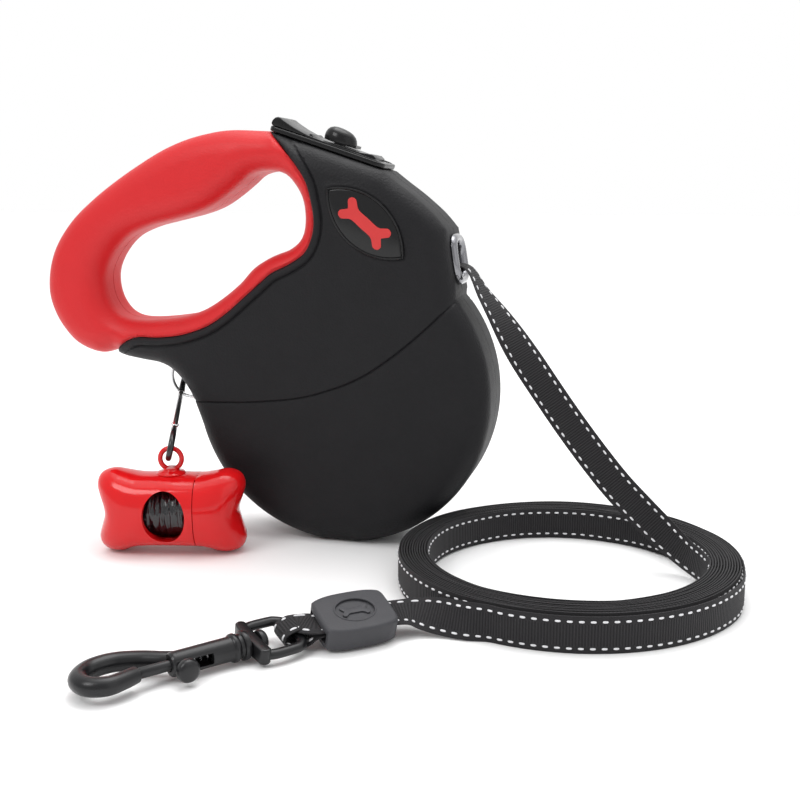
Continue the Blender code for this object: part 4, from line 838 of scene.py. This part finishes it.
# ---- brake ----------------------------------------------------------------------
def make_brake():
    def plan(half_long, half_wide, radius, middle):
        return [Vector((middle + p.x, p.y)) for p in rounded_box(half_long, half_wide, radius)]

    def up_seat(s, y, h):
        return on_seat(s, h, y)

    piece("button_bezel", extruded(plan(24.0, 10.4, 3.2, -0.4), up_seat, GAP, 2.3), GLOSS, "casing", "button",
          "button_bezel", cuts=[block(on_seat, (-9.2, -3, -7.0), (19.4, 9, 7.0))], bevel=(0.5, 3, 40))
    hump_side = [(-9.6, 2.35), (-23.4, 2.35), (-24.2, 3.0), (-24.0, 4.4), (-23.2, 5.6), (-22.2, 6.15),
                 (-21.2, 6.1), (-19.2, 5.4), (-15, 4.3), (-9.6, 3.35)]
    piece("bezel_ridge", extruded([Vector(p) for p in hump_side], on_seat, -9.4, 9.4), GLOSS, "casing",
          "button",
          bevel=(0.55, 4, 38))
    rail_side = [Vector(p) for p in ((-9.6, 2.35), (-9.6, 3.3), (-3, 2.95), (12, 2.75), (20.5, 2.6),
                                     (22.0, 2.35))]
    for side in (-1, 1):
        rail = extruded(rail_side, on_seat, *sorted((side * 7.2, side * 9.6)))
        piece(f"bezel_rail_{'near' if side < 0 else 'far'}", rail, GLOSS, "casing", "button",
              bevel=(0.25, 2, 38))

    top = [(-8.9, -0.9), (-4.9, -0.9), (-4.9, -2.4), (19.1, -2.4), (19.1, 3.1), (17.6, 3.9),
           (15.6, 3.75), (12.4, 3.25), (4, 3.4), (-3, 2.9), (-7.2, 3.3), (-8.5, 4.0), (-8.9, 3.8)]
    button = merged(extruded([Vector(p) for p in top], on_seat, -6.7, 6.7),
                    rod((9.0, 0, 125.6), on_seat(15.7, -2.2, 0), 1.8))
    piece("brake_button", button, GLOSS, "button", "button", "brake_button", bevel=(0.3, 3, 45))

    levels = [(3.75, 1.02), (4.6, 1.05), (5.8, 1.03), (7.0, 0.96), (8.0, 0.84), (8.8, 0.64), (9.2, 0.42),
              (9.35, 0.18)]
    sides = 48
    dome = []
    for h, size in levels:
        for i in range(sides):
            a = math.tau * i / sides
            lean = 0.58 * size * math.cos(a) * (h > 4) * 1.1
            dome.append(on_seat(1.8 + 6.4 * size * math.cos(a), h - lean, 5.3 * size * math.sin(a)))
    lock = merged((dome, tube_faces(len(levels), sides, False)), block(on_seat, (6.4, 3.8, -3.6),
                                                                       (9.4, 4.9, 3.6)),
                  block(on_seat, (0.0, 0.2, -1.9), (3.6, 4.2, 1.9)))
    piece("lock_slider", lock, GLOSS, "lock", "button", "lock_slider", smooth_deg=50)


def rounded_box(half_a, half_b, radius, parts=8):
    """Rectangle with round corners, anticlockwise."""
    points = []
    for quarter, (sx, sy) in enumerate(((1, 1), (-1, 1), (-1, -1), (1, -1))):
        for i in range(parts + 1):
            a = math.pi / 2 * (quarter + i / parts)
            points.append(Vector((sx * (half_a - radius) + radius * math.cos(a),
                                  sy * (half_b - radius) + radius * math.sin(a))))
    return points


# ---- key ring, carabiner, dispenser ---------------------------------------------
HANG_ANGLE = math.radians(235)
HANG_POINT = RING_CENTRE + Vector((RING_R * math.cos(HANG_ANGLE), 0, RING_R * math.sin(HANG_ANGLE)))
CARABINER_LONG = Vector((0.30, -0.904, -0.36)).normalized()
CARABINER_ROLL = math.radians(-16)
CARABINER_HANG = (4.2, -1.2)
CARABINER_LOOP = (48.0, 0.1)
BIN_LOOP_R = 4.2


def carabiner_axes():
    wire = Vector((math.cos(BIN_TURN), math.sin(BIN_TURN), 0))
    first = (wire - CARABINER_LONG * wire.dot(CARABINER_LONG)).normalized()
    second = CARABINER_LONG.cross(first)
    normal = first * math.cos(CARABINER_ROLL) + second * math.sin(CARABINER_ROLL)
    return CARABINER_LONG.cross(normal), normal


CARABINER_SIDE, CARABINER_NORMAL = carabiner_axes()
CARABINER_TOP = HANG_POINT - CARABINER_LONG * CARABINER_HANG[0] - CARABINER_SIDE * CARABINER_HANG[1]
BIN_LOOP_TOP = CARABINER_TOP + CARABINER_LONG * CARABINER_LOOP[0] + CARABINER_SIDE * CARABINER_LOOP[1]
BIN_LOOP_Z = BIN_LOOP_TOP.z - BIN_LOOP_R


def bin_place(u, v, h):
    return Vector((BIN_LOOP_TOP.x, BIN_LOOP_TOP.y, 0)) + Vector(
        (u * math.cos(BIN_TURN) - h * math.sin(BIN_TURN), u * math.sin(BIN_TURN) + h * math.cos(BIN_TURN), v))


def on_carabiner(u, v, h=0.0):
    return CARABINER_TOP + CARABINER_LONG * u + CARABINER_SIDE * v + CARABINER_NORMAL * h


def inflated(points, tris, rim):
    """Height of a soft bulge over a triangulated outline: 0 on the rim, round across a bar."""
    count = len(points)
    pts = np.array([(p[0], p[1]) for p in points])
    stiff = np.zeros((count, count))
    load = np.zeros(count)
    for tri in tris:
        corners = pts[list(tri)]
        area = 0.5 * abs(np.cross(corners[1] - corners[0], corners[2] - corners[0]))
        if area < 1e-6:
            continue
        opposite = np.roll(corners, -1, 0) - np.roll(corners, -2, 0)
        part = opposite @ opposite.T / (4 * area)
        stiff[np.ix_(tri, tri)] += part
        load[list(tri)] += area / 3
    free = np.array([i for i in range(count) if i not in rim and stiff[i, i] > 0])
    height = np.zeros(count)
    height[free] = np.linalg.solve(stiff[np.ix_(free, free)], load[free])
    return np.sqrt(np.maximum(0, 2 * height))


def make_dispenser():
    half = [(0, 31.5), (11, 31.3), (17, 32.2), (22.5, 33.2), (27.3, 31.4), (28.9, 27), (27.4, 21.5),
            (26.0, 16.6), (27.4, 11.6), (28.9, 6), (27, 1.8), (22.5, 0.3), (18, 0.6), (13, 2.4), (0, 2.8)]
    right = [Vector(p) for p in half]
    outline = smooth_line(right + [Vector((-u, v)) for u, v in reversed(half[1:-1])], 1.3, closed=True)
    near = []
    for depth in (0.1, 0.35, 0.8, 1.5):
        near += shifted(outline, -depth, True)
    near = [p for p, ok in zip(near, within(near, outline)) if ok]
    grid = hex_grid((-30, 0), (30, 34), 1.35)
    grid = [p for p, d, ok in zip(grid, distances(grid, [(outline, True)]), within(grid, outline))
            if ok and d > 2.2 and abs(p.x - CAP_AT) > 0.8]
    walls = [[Vector((CAP_AT + s, 3.2 + 0.9 * i)) for i in range(31)] for s in (-0.14, 0.14)]
    flat, tris = triangulate([outline], near + grid, walls)
    height = inflated(flat, tris, set(range(len(outline))))
    peak = BIN_HALF_T
    # flattens the fullest part a little so that the barrel keeps the CAD's thickness
    height = peak * np.tanh(height / peak * 1.05) / math.tanh(1.05 * float(height.max()) / peak)
    for name, body, keep in (("dispenser_body", "dispenser", lambda x: x < CAP_AT - 0.13),
                             ("dispenser_cap", "cap", lambda x: x > CAP_AT + 0.13)):
        faces = [t for t in tris if keep(sum(flat[i][0] for i in t) / 3)]
        used = sorted({i for t in faces for i in t})
        index = {old: new for new, old in enumerate(used)}
        verts = [bin_place(flat[i][0], flat[i][1], -height[i]) for i in used]
        verts += [bin_place(flat[i][0], flat[i][1], height[i]) for i in used]
        count = len(used)
        solid = [tuple(index[i] for i in t) for t in faces]
        solid += [tuple(index[i] + count for i in reversed(t)) for t in faces]
        edges = dict.fromkeys((a, b) for t in faces for a, b in zip(t, t[1:] + t[:1]))
        solid += [(index[a], index[b], index[b] + count, index[a] + count)
                  for a, b in edges if (b, a) not in edges]
        ends = (-20.4, CAP_AT + 3) if name == "dispenser_body" else (CAP_AT - 3, 20.0)
        cuts = [rod(bin_place(ends[0], BIN_BORE_V, 0), bin_place(ends[1], BIN_BORE_V, 0), BIN_BORE_R, 48)]
        if name == "dispenser_body":
            cuts.append(prism([oval(8.2, 10.2, 64)], lambda u, v, h: bin_place(u - 0.6, v + BIN_BORE_V, h),
                              -25, -6))
        piece(name, (verts, solid), RED, body, "dispenser", name, cuts=cuts, smooth_deg=50)
    neck = [(0, 30.6), (5.2, 30.6), (5.6, 31.2), (5.0, 31.9), (3.4, 32.2), (2.9, 32.8), (3.0, 33.4),
            (0, 33.6)]
    loop_section = [(BIN_LOOP_R + p.x, p.y) for p in circle(0.95, 20)]
    loop_axis = bin_place(0, 0, 1) - bin_place(0, 0, 0)
    loop = merged(turned([(r, h - 0.4) for r, h in neck], bin_place(0, 0.6, 0), AXIS_Z, 40, False),
                  turned(loop_section, bin_place(0, BIN_LOOP_Z, 0), loop_axis, 56))
    piece("dispenser_loop", loop, RED, "dispenser", "dispenser", smooth_deg=50)
    make_bags()


def make_bags():
    """Roll of folded bags: film wound with creases."""
    axis = (bin_place(1, 0, 0) - bin_place(0, 0, 0)).normalized()
    centre = bin_place(-5.4, BIN_BORE_V, 0)
    turn = axis.to_track_quat("Z", "Y")
    rings, sides = 96, 96
    verts = []
    for i in range(rings):
        h = -14.6 + 29.2 * i / (rings - 1)
        for k in range(sides):
            a = math.tau * k / sides
            crease = noise.noise(Vector((h * 0.75, 1.1 * math.cos(a), 1.1 * math.sin(a))))
            fine = noise.noise(Vector((h * 1.6, 4 * math.cos(a), 4 * math.sin(a))))
            radius = 10.3 + 0.7 * crease + 0.3 * fine
            verts.append(centre + turn @ Vector((radius * math.cos(a), radius * math.sin(a), h)))
    piece("bag_roll", (verts, tube_faces(rings, sides, False)), FILM, "bags", "bags", "bag_roll",
          smooth_deg=60)


def make_carabiner():
    """Split ring on its post, and the carabiner with its riveted gate."""
    path = []
    steps = 96
    for i in range(2 * steps + 1):
        a = math.tau * i / steps + 0.9
        across_ring = 1.1 * (i / (2 * steps) - 0.5)
        path.append(RING_CENTRE + Vector((RING_R * math.cos(a), across_ring, RING_R * math.sin(a))))
    piece("key_ring", sweep(path, circle(0.6, 14), start_up=AXIS_Y), STEEL, "ring", "steel", "key_ring")
    piece("key_ring_post", rod((POST.x, -10.2, POST.z), (POST.x, 10.2, POST.z), POST_R, 32), STEEL, "casing",
          "steel", "key_ring_post")

    line = smooth_line([on_carabiner(u, v) for u, v in CARABINER_LINE], 0.7)
    count = len(line) - 1

    def swell(t):
        """Slightly fuller noses where the gate meets the body."""
        return 1.0 + 0.12 * math.exp(-(t * count / 4) ** 2) - 0.3 * math.exp(-((1 - t) * count / 3) ** 2)

    wire = sweep(line, circle(CARABINER_WIRE_R, 24), start_up=CARABINER_NORMAL, scale=swell)
    piece("carabiner_body", wire, ENAMEL, "carabiner", "carabiner", "carabiner_body")
    top, low = on_carabiner(*GATE_TOP), on_carabiner(GATE_PIVOT[0] + 1.7, GATE_PIVOT[1])
    away = (top - low).normalized()
    length = (top - low).length
    profile = [(0, 0), (0.8, 0.05), (1.1, 0.4), (1.15, 1.0), (1.15, length - 3.2), (1.02, length - 2.9),
               (1.02, length - 2.6), (1.15, length - 2.3), (1.15, length - 0.5), (0.9, length - 0.05),
               (0, length)]
    piece("carabiner_gate", turned(profile, low, away, 28, False), CHROME, "gate", "gate", "carabiner_gate")
    rivet = [(0, -1.55), (0.55, -1.5), (0.75, -1.25), (0.75, 1.25), (0.55, 1.5), (0, 1.55)]
    pin = turned(rivet, on_carabiner(*GATE_PIVOT), CARABINER_NORMAL, 24, False)
    piece("gate_rivet", pin, CHROME, "carabiner", "carabiner")


# ---- webbing --------------------------------------------------------------------
STITCH_PITCH = 3.6
STITCH_LEN = 1.8
STITCH_W = 0.7
STITCH_ROW = 4.35
RIBBON_SEGMENTS = 8


def ribbon_frames(path, across_of):
    """(point, along, width direction, normal) at each point of a path."""
    frames = []
    count = len(path)
    for i, point in enumerate(path):
        along = (path[min(i + 1, count - 1)] - path[max(i - 1, 0)]).normalized()
        wide = across_of(i / (count - 1))
        wide = (wide - along * wide.dot(along)).normalized()
        frames.append((point, along, wide, along.cross(wide).normalized()))
    return frames


def ribbon(name, frames, width=TAPE_W, thickness=TAPE_T, width_of=None):
    """Webbing with a rounded selvedge; UVs hold mm across and along."""
    section = []
    for side in (1, -1):
        for k in range(RIBBON_SEGMENTS + 1):
            u = side * (2 * k / RIBBON_SEGMENTS - 1)
            fall = 0.5 * (1 - 0.55 * max(0.0, (abs(u) - 0.86) / 0.14) ** 2)
            section.append((-u, side * fall))
    verts, uvs = [], []
    run = 0.0
    for i, (point, _, wide, thick) in enumerate(frames):
        if i:
            run += (point - frames[i - 1][0]).length
        share = width_of(i / (len(frames) - 1)) if width_of else 1.0
        for u, h in section:
            verts.append(point + wide * u * width / 2 * share + thick * h * thickness)
            uvs.append((u * width / 2, run))
    return add_mesh(name, verts, tube_faces(len(frames), len(section), False), WEBBING, 50, uvs=uvs)


def stitches(name, frames, faces=(1, -1), start=2.0, stop=None, width_of=None):
    """Two rows of reflective stitches, as short raised threads that dive in at both ends."""
    lengths = [0.0]
    for a, b in zip(frames, frames[1:]):
        lengths.append(lengths[-1] + (b[0] - a[0]).length)
    stop = lengths[-1] - 2.0 if stop is None else stop
    verts, polys = [], []
    profile = [(0.0, -0.15, 0.5), (0.12, 0.14, 0.85), (0.35, 0.24, 1.0), (0.65, 0.24, 1.0),
               (0.88, 0.14, 0.85), (1.0, -0.15, 0.5)]
    ring = [(-0.5, -0.6), (-0.42, 0.45), (0.0, 1.0), (0.42, 0.45), (0.5, -0.6)]
    position = start
    k = 0
    while position + STITCH_LEN < stop:
        for face in faces:
            for row in (-1, 1):
                base = len(verts)
                for t, lift, size in profile:
                    at = position + STITCH_LEN * t
                    while k < len(lengths) - 2 and lengths[k + 1] < at:
                        k += 1
                    while k > 0 and lengths[k] > at:
                        k -= 1
                    share = (at - lengths[k]) / max(lengths[k + 1] - lengths[k], 1e-9)
                    a, b = frames[k], frames[k + 1]
                    point, wide, thick = (a[j].lerp(b[j], share) for j in (0, 2, 3))
                    squeeze = width_of(at / lengths[-1]) if width_of else 1.0
                    point = (point + wide * row * STITCH_ROW * squeeze
                             + thick * face * (TAPE_T / 2 + lift * 0.5))
                    verts += [point + wide * w * STITCH_W * size + thick * face * h * 0.22 * size
                              for w, h in ring]
                polys += [tuple(i + base for i in f) for f in tube_faces(len(profile), len(ring), False)]
        position += STITCH_PITCH
    return add_mesh(name, verts, polys, THREAD, 60)


def sleeve_axes():
    along = Vector((math.cos(SLEEVE_HEADING), math.sin(SLEEVE_HEADING), 0))
    flat = Vector((-along.y, along.x, 0))
    wide = flat * math.cos(SLEEVE_TILT) + AXIS_Z * math.sin(SLEEVE_TILT)
    return along, wide, along.cross(wide)


SLEEVE_ALONG, SLEEVE_WIDE, SLEEVE_OUT = sleeve_axes()


def on_sleeve(s, w, h):
    return SLEEVE_O + SLEEVE_ALONG * s + SLEEVE_WIDE * w + SLEEVE_OUT * h


def lead_across(t):
    leaning = Vector((0.62, 0.10, 0.60)).normalized()
    if t < 0.5:
        return turned_between(AXIS_Y, leaning, ease(t / 0.42))
    return turned_between(leaning, AXIS_Z, ease((t - 0.5) / 0.42))


def tail_across(t):
    return turned_between(AXIS_Z, SLEEVE_WIDE, ease((t - 0.70) / 0.24))


def coil_frames():
    """Spiral of twelve turns, a little uneven in spacing and height as hand-wound tape is."""
    pitch = (COIL_OUT_R - COIL_IN_R) / COIL_TURNS
    per_turn = 120
    frames = []
    for i in range(COIL_TURNS * per_turn + 1):
        turn = i / per_turn
        a = -math.tau * turn + math.radians(2)
        sway = noise.noise(Vector((math.cos(a) * 1.3, math.sin(a) * 1.3, turn * 0.25)))
        rise = noise.noise(Vector((math.cos(a) * 1.6 + 7, math.sin(a) * 1.6,
                                   int(turn) * 3.7 + (turn % 1) * 0.2)))
        radius = COIL_IN_R + pitch * (0.5 + turn * (COIL_TURNS - 1) / COIL_TURNS) + 0.10 * sway
        height = TAPE_W / 2 + 0.25 + 0.55 * abs(rise)
        point = COIL_CENTRE + Vector((radius * math.cos(a), radius * math.sin(a), height))
        lean = Vector((math.cos(a), math.sin(a), 0)) * 0.02 * sway
        out = Vector((math.cos(a), math.sin(a), 0))
        frames.append((point, out.cross(AXIS_Z).normalized(), (AXIS_Z + lean).normalized(), out))
    return frames


def make_webbing():
    lead_path = resampled(smooth_line(LEAD_ROUTE, 1.5), 180)
    frames = ribbon_frames(lead_path, lead_across)
    lead = fit(ribbon("tape_lead", frames), "casing", "webbing", "tape_lead")
    lead_thread = fit(stitches("lead_stitches", frames, start=6.0), "casing", "webbing")

    frames = coil_frames()
    coil = fit(ribbon("tape_coil", frames), "casing", "webbing", "tape_coil")
    outer = stitches("coil_stitches_outer", frames[-150:], faces=(1,))
    inner = stitches("coil_stitches_inner", frames[:130], faces=(-1,))
    for row in (outer, inner):
        fit(row, "casing", "webbing")

    # the tail starts where the outermost turn ends and climbs onto the coil
    end = frames[-1][0] - COIL_CENTRE
    start_deg = math.degrees(math.atan2(end.y, end.x))
    start_r, rest_r = math.hypot(end.x, end.y), COIL_OUT_R + GAP + 0.5
    around = []
    for a in [start_deg] + list(range(-3, -111, -5)):
        radius = start_r + (rest_r - start_r) * ease((start_deg - a) / 24)
        z = end.z + (TAPE_W / 2 + 0.1 - end.z) * ease((start_deg - a) / 24)
        around.append(COIL_CENTRE + Vector((radius * math.cos(math.radians(a)),
                                            radius * math.sin(math.radians(a)), z)))
    tail_path = resampled(smooth_line(around + [Vector(p) for p in TAIL_EXIT], 1.5), 150)
    frames = ribbon_frames(tail_path, tail_across)
    tail = fit(ribbon("tape_tail", frames), "casing", "webbing", "tape_tail")
    tail_thread = fit(stitches("tail_stitches", frames), "casing", "webbing")
    return tail, tail_thread, tail_path


# ---- hook end -------------------------------------------------------------------
def frame_along(heading, tilt):
    along = Vector((math.cos(heading), math.sin(heading), 0))
    flat = Vector((-along.y, along.x, 0))
    side = flat * math.cos(tilt) - AXIS_Z * math.sin(tilt)
    return along, side, along.cross(side)


HOOK_AXES = frame_along(HOOK_HEADING, 0.0)
EYE_AXES = frame_along(HOOK_HEADING, EYE_TILT)


def on_hook(u, v, h=0.0):
    return HOOK_O + HOOK_AXES[0] * u + HOOK_AXES[1] * v + HOOK_AXES[2] * h


def on_eye(u, v, h=0.0):
    return HOOK_O + EYE_AXES[0] * u + EYE_AXES[1] * v + EYE_AXES[2] * h


def make_hook_end():
    outline = smooth_line([(-12.2, -5.6), (-10.6, -8.0), (-6, -9.3), (0, -9.6), (6, -9.4), (10.6, -8.2),
                           (12.2, -6.0), (12.2, 6.0), (10.6, 8.2), (6, 9.4), (0, 9.6), (-6, 9.3),
                           (-10.6, 8.0),
                           (-12.2, 5.6)], 1.4, closed=True)
    sleeve = add_mesh("tape_sleeve", *extruded(outline, on_sleeve, -4.0, 4.0), RUBBER)
    shape(sleeve, bevel=(1.5, 5, 50))
    shape(sleeve, cuts=[block(on_sleeve, (-16, -6.5, -1.9), (16, 6.5, 1.9)),
                        prism([oval(6.6, 5.4, 64)], on_sleeve, 3.35, 6)], smooth_deg=40)
    fit(sleeve, "casing", "sleeve", "tape_sleeve")
    rim_path = [on_sleeve(p.x, p.y, 3.95) for p in oval(6.7, 5.5, 72)]
    rim = add_mesh("sleeve_rim", *sweep(rim_path, circle(0.32, 10), closed=True, start_up=SLEEVE_OUT), RUBBER)
    emblem = add_mesh("sleeve_emblem", *prism([bone_outline(4.6, 2.5, 0.6)], on_sleeve, 3.3, 3.9), RUBBER)
    shape(emblem, bevel=(0.18, 2, 40))
    for detail in (rim, emblem):
        fit(detail, "casing", "sleeve")

    loop_along, loop_side, loop_up = frame_along(LOOP_HEADING, LOOP_TILT)
    bar = on_eye(EYE_END_U, 0)
    mouth = on_sleeve(-SLEEVE_LEN / 2 + 4, 0, 0)
    route = [mouth + SLEEVE_OUT * 0.7, on_sleeve(-12.9, 0, 0.8), bar - loop_along * 1.6 + loop_up * 2.9,
             bar + loop_along * 1.4 + loop_up * 2.9, bar + loop_along * 4.3 + loop_up * 1.4,
             bar + loop_along * 4.3 - loop_up * 1.4, bar + loop_along * 1.4 - loop_up * 2.9,
             bar - loop_along * 1.6 - loop_up * 2.9, on_sleeve(-12.9, 0, -0.8), mouth - SLEEVE_OUT * 0.7]
    path = resampled(smooth_line(route, 0.8), 70)

    def narrowing(t):
        return 1 - 0.3 * math.sin(math.pi * t) ** 0.6

    frames = ribbon_frames(path, lambda t: -loop_side)
    loop = fit(ribbon("tape_loop", frames, width_of=narrowing), "casing", "webbing", "tape_loop")
    loop_thread = fit(stitches("loop_stitches", frames, width_of=narrowing), "casing", "webbing")

    arm = 8.4
    shift = -2.4
    eye_line = [(0.0, arm - 1.2), (-4, arm), (-10, arm), (-14.6, arm - 0.4), (-16.8, arm - 2.4),
                (EYE_END_U, arm - 5), (EYE_END_U, 0), (EYE_END_U, 5 - arm), (-16.8, 2.4 - arm),
                (-14.6, 0.4 - arm), (-10, -arm),
                (-4, -arm), (0.0, 1.2 - arm)]
    line = smooth_line([on_eye(u + (shift if u > -12 else 0), v) for u, v in eye_line], 0.8)
    eye = add_mesh("swivel_eye", *sweep(line, oval(1.75, 1.5, 20), start_up=EYE_AXES[2]), HOOK)
    yoke_plan = smooth_line([(-4.6, -8.6), (-3.4, -9.4), (-1.6, -8.9), (-0.9, -6), (-0.9, 6), (-1.6, 8.9),
                             (-3.4, 9.4), (-4.6, 8.6), (-4.4, 5), (-4.4, -5)], 1.0, closed=True)
    yoke = add_mesh("eye_yoke", *extruded(yoke_plan, on_eye, -2.5, 2.5), HOOK)
    shape(yoke, bevel=(0.8, 4, 40))
    shape(yoke, cuts=[rod(on_eye(-8, 0), on_eye(2, 0), BOLT_BORE_R, 32)])
    fit(eye, "eye", "hook", "swivel_eye")
    fit(yoke, "eye", "hook")

    axis = on_hook(1, 0) - on_hook(0, 0)
    pin_profile = [(0, -7.4), (1.6, -7.35), (2.6, -7.05), (3.3, -6.3), (3.45, -5.4), (3.3, -4.75),
                   (2.6, -4.6),
                   (1.7, -4.6), (1.7, 3.4), (0, 3.4)]
    pin = add_mesh("swivel_pin", *turned(pin_profile, HOOK_O, axis, 40, False), HOOK)
    fit(pin, "hook", "hook", "swivel_pin")
    profile = [(0, -0.8), (3.9, -0.8), (4.35, -0.55), (4.5, 0.0), (4.5, 0.8), (4.3, 1.2), (3.85, 1.4),
               (3.7, 1.8), (3.75, 2.4), (4.1, 2.8), (4.4, 3.3), (4.4, 4.0), (4.2, 4.5), (3.85, 4.8),
               (3.75, 5.4),
               (3.7, 23.0), (3.5, 23.7), (3.1, 24.1), (0, 24.2)]
    bow = [(19, -1.4), (24, -4.2), (30, -8.6), (37, -11.6), (44, -10.8), (48.6, -6.2), (48.0, -0.6),
           (43.6, 2.4), (38.6, 1.6), (34.4, 0.2)]
    bow_line = smooth_line([on_hook(u, v) for u, v in bow], 0.9)
    barrel = add_mesh("hook_barrel", *turned(profile, HOOK_O, axis, 56, False), HOOK)
    bow_solid = sweep(bow_line, oval(3.0, 2.9, 28),
                      scale=lambda t: 0.84 + 0.17 * math.sin(math.pi * t) ** 0.7)
    bow_mesh = add_mesh("hook_bow", *bow_solid, HOOK)
    slot_cut = [rod(on_hook(5.5, 0), on_hook(33.9, 0), BOLT_BORE_R, 28),
                block(on_hook, (11.6, 0, -1.7), (23.0, 6, 1.7))]
    shape(barrel, cuts=[rod(on_hook(-3, 0), on_hook(3.7, 0), BOLT_BORE_R, 28)] + slot_cut)
    shape(bow_mesh, cuts=slot_cut[:1])
    fit(barrel, "hook", "hook", "hook_body")
    fit(bow_mesh, "hook", "hook")

    bolt_profile = [(0, 0), (1.2, 0), (1.65, 0.4), (1.65, 15.6), (1.3, 16.1), (0, 16.1)]
    thumb = [(0, 4.9), (2.5, 4.9), (3.2, 5.2), (3.5, 5.8), (3.5, 7.0), (3.1, 7.8), (2.3, 8.25), (0, 8.35)]
    bolt = add_mesh("hook_bolt", *merged(
        turned(bolt_profile, on_hook(17.5, 0), axis, 32, False),
        rod(on_hook(21.2, 0.4), on_hook(21.2, 5.2), 1.3),
        turned(thumb, on_hook(21.2, 0), on_hook(0, 1) - on_hook(0, 0), 40, False)), HOOK)
    fit(bolt, "bolt", "hook", "hook_bolt")
    return loop, loop_thread, [sleeve, rim, emblem, eye, yoke, pin, barrel, bow_mesh, bolt]


# ---- room -----------------------------------------------------------------------
def area_light(name, place, target, size, power, size_y=None):
    light = bpy.data.lights.new(name, "AREA")
    light.energy = power
    light.size = size
    if size_y:
        light.shape = "RECTANGLE"
        light.size_y = size_y
    obj = bpy.data.objects.new(name, light)
    obj.location = place
    obj.rotation_euler = (Vector(target) - Vector(place)).to_track_quat("-Z", "Y").to_euler()
    bpy.context.scene.collection.objects.link(obj)
    return obj


def make_room():
    floor_mat = finish_of("floor_white", (0.9, 0.9, 0.9), 0.6, spread=0.02, vary=0.004)
    half = 6000.0
    floor = add_mesh("floor", [(-half, -half, 0), (half, -half, 0), (half, half, 0), (-half, half, 0)],
                     [(0, 1, 2, 3)], floor_mat)
    world = bpy.data.worlds.new("studio")
    bpy.context.scene.world = world
    world.use_nodes = True
    tree = world.node_tree
    link = tree.links.new
    background = tree.nodes["Background"]
    background.inputs["Color"].default_value = (1, 1, 1, 1)
    # bright beyond the object, dimmer on the near side so that blacks stay black
    heading = add_node(tree, "ShaderNodeSeparateXYZ")
    level = add_node(tree, "ShaderNodeMapRange",
                     **{"From Min": -0.5, "From Max": 0.4, "To Min": 0.66, "To Max": 1.0})
    link(add_node(tree, "ShaderNodeTexCoord").outputs["Generated"], heading.inputs["Vector"])
    link(heading.outputs["Y"], level.inputs["Value"])
    link(level.outputs["Result"], background.inputs["Strength"])
    sun = bpy.data.lights.new("overhead", "SUN")
    sun.energy = 1.0
    sun.angle = math.radians(70)
    overhead = bpy.data.objects.new("overhead", sun)
    overhead.rotation_euler = (math.radians(-12), math.radians(8), 0)
    bpy.context.scene.collection.objects.link(overhead)
    area_light("key", (-0.45, -0.75, 0.95), (0, 0, 0.08), 0.5, 5.0)
    area_light("fill", (0.9, -0.5, 0.5), (0.02, -0.02, 0.06), 0.8, 1.0)
    area_light("top", (0.05, 0.25, 1.1), (0, 0, 0.1), 0.7, 5.0)

    camera = bpy.data.cameras.new("camera")
    camera.lens = 48.6
    camera.sensor_width = 36
    camera.clip_start = 0.01
    obj = bpy.data.objects.new("camera", camera)
    obj.location = (0.1246, -0.4135, 0.1394)
    obj.rotation_euler = (math.radians(79.01), 0, math.radians(14))
    bpy.context.scene.collection.objects.link(obj)
    bpy.context.scene.camera = obj
    bpy.context.scene.view_settings.view_transform = "Standard"


def paint_hidden():
    """CAD nodes that stay on show inside the casing get the same finishes."""
    looks = {"reel": PLASTIC, "steel": STEEL, "webbing": WEBBING}
    slots = {entry["node"]: entry["material_slot"] for entry in frame["record"]["subparts"]}
    for node, obj in frame["nodes"].items():
        if not obj.hide_render and slots.get(node) in looks:
            obj.data.materials.clear()
            obj.data.materials.append(looks[slots[node]])


make_casing()
make_brake()
make_carabiner()
make_dispenser()
tail, tail_thread, tail_path = make_webbing()
loop, loop_thread, hook_pieces = make_hook_end()
make_room()
paint_hidden()
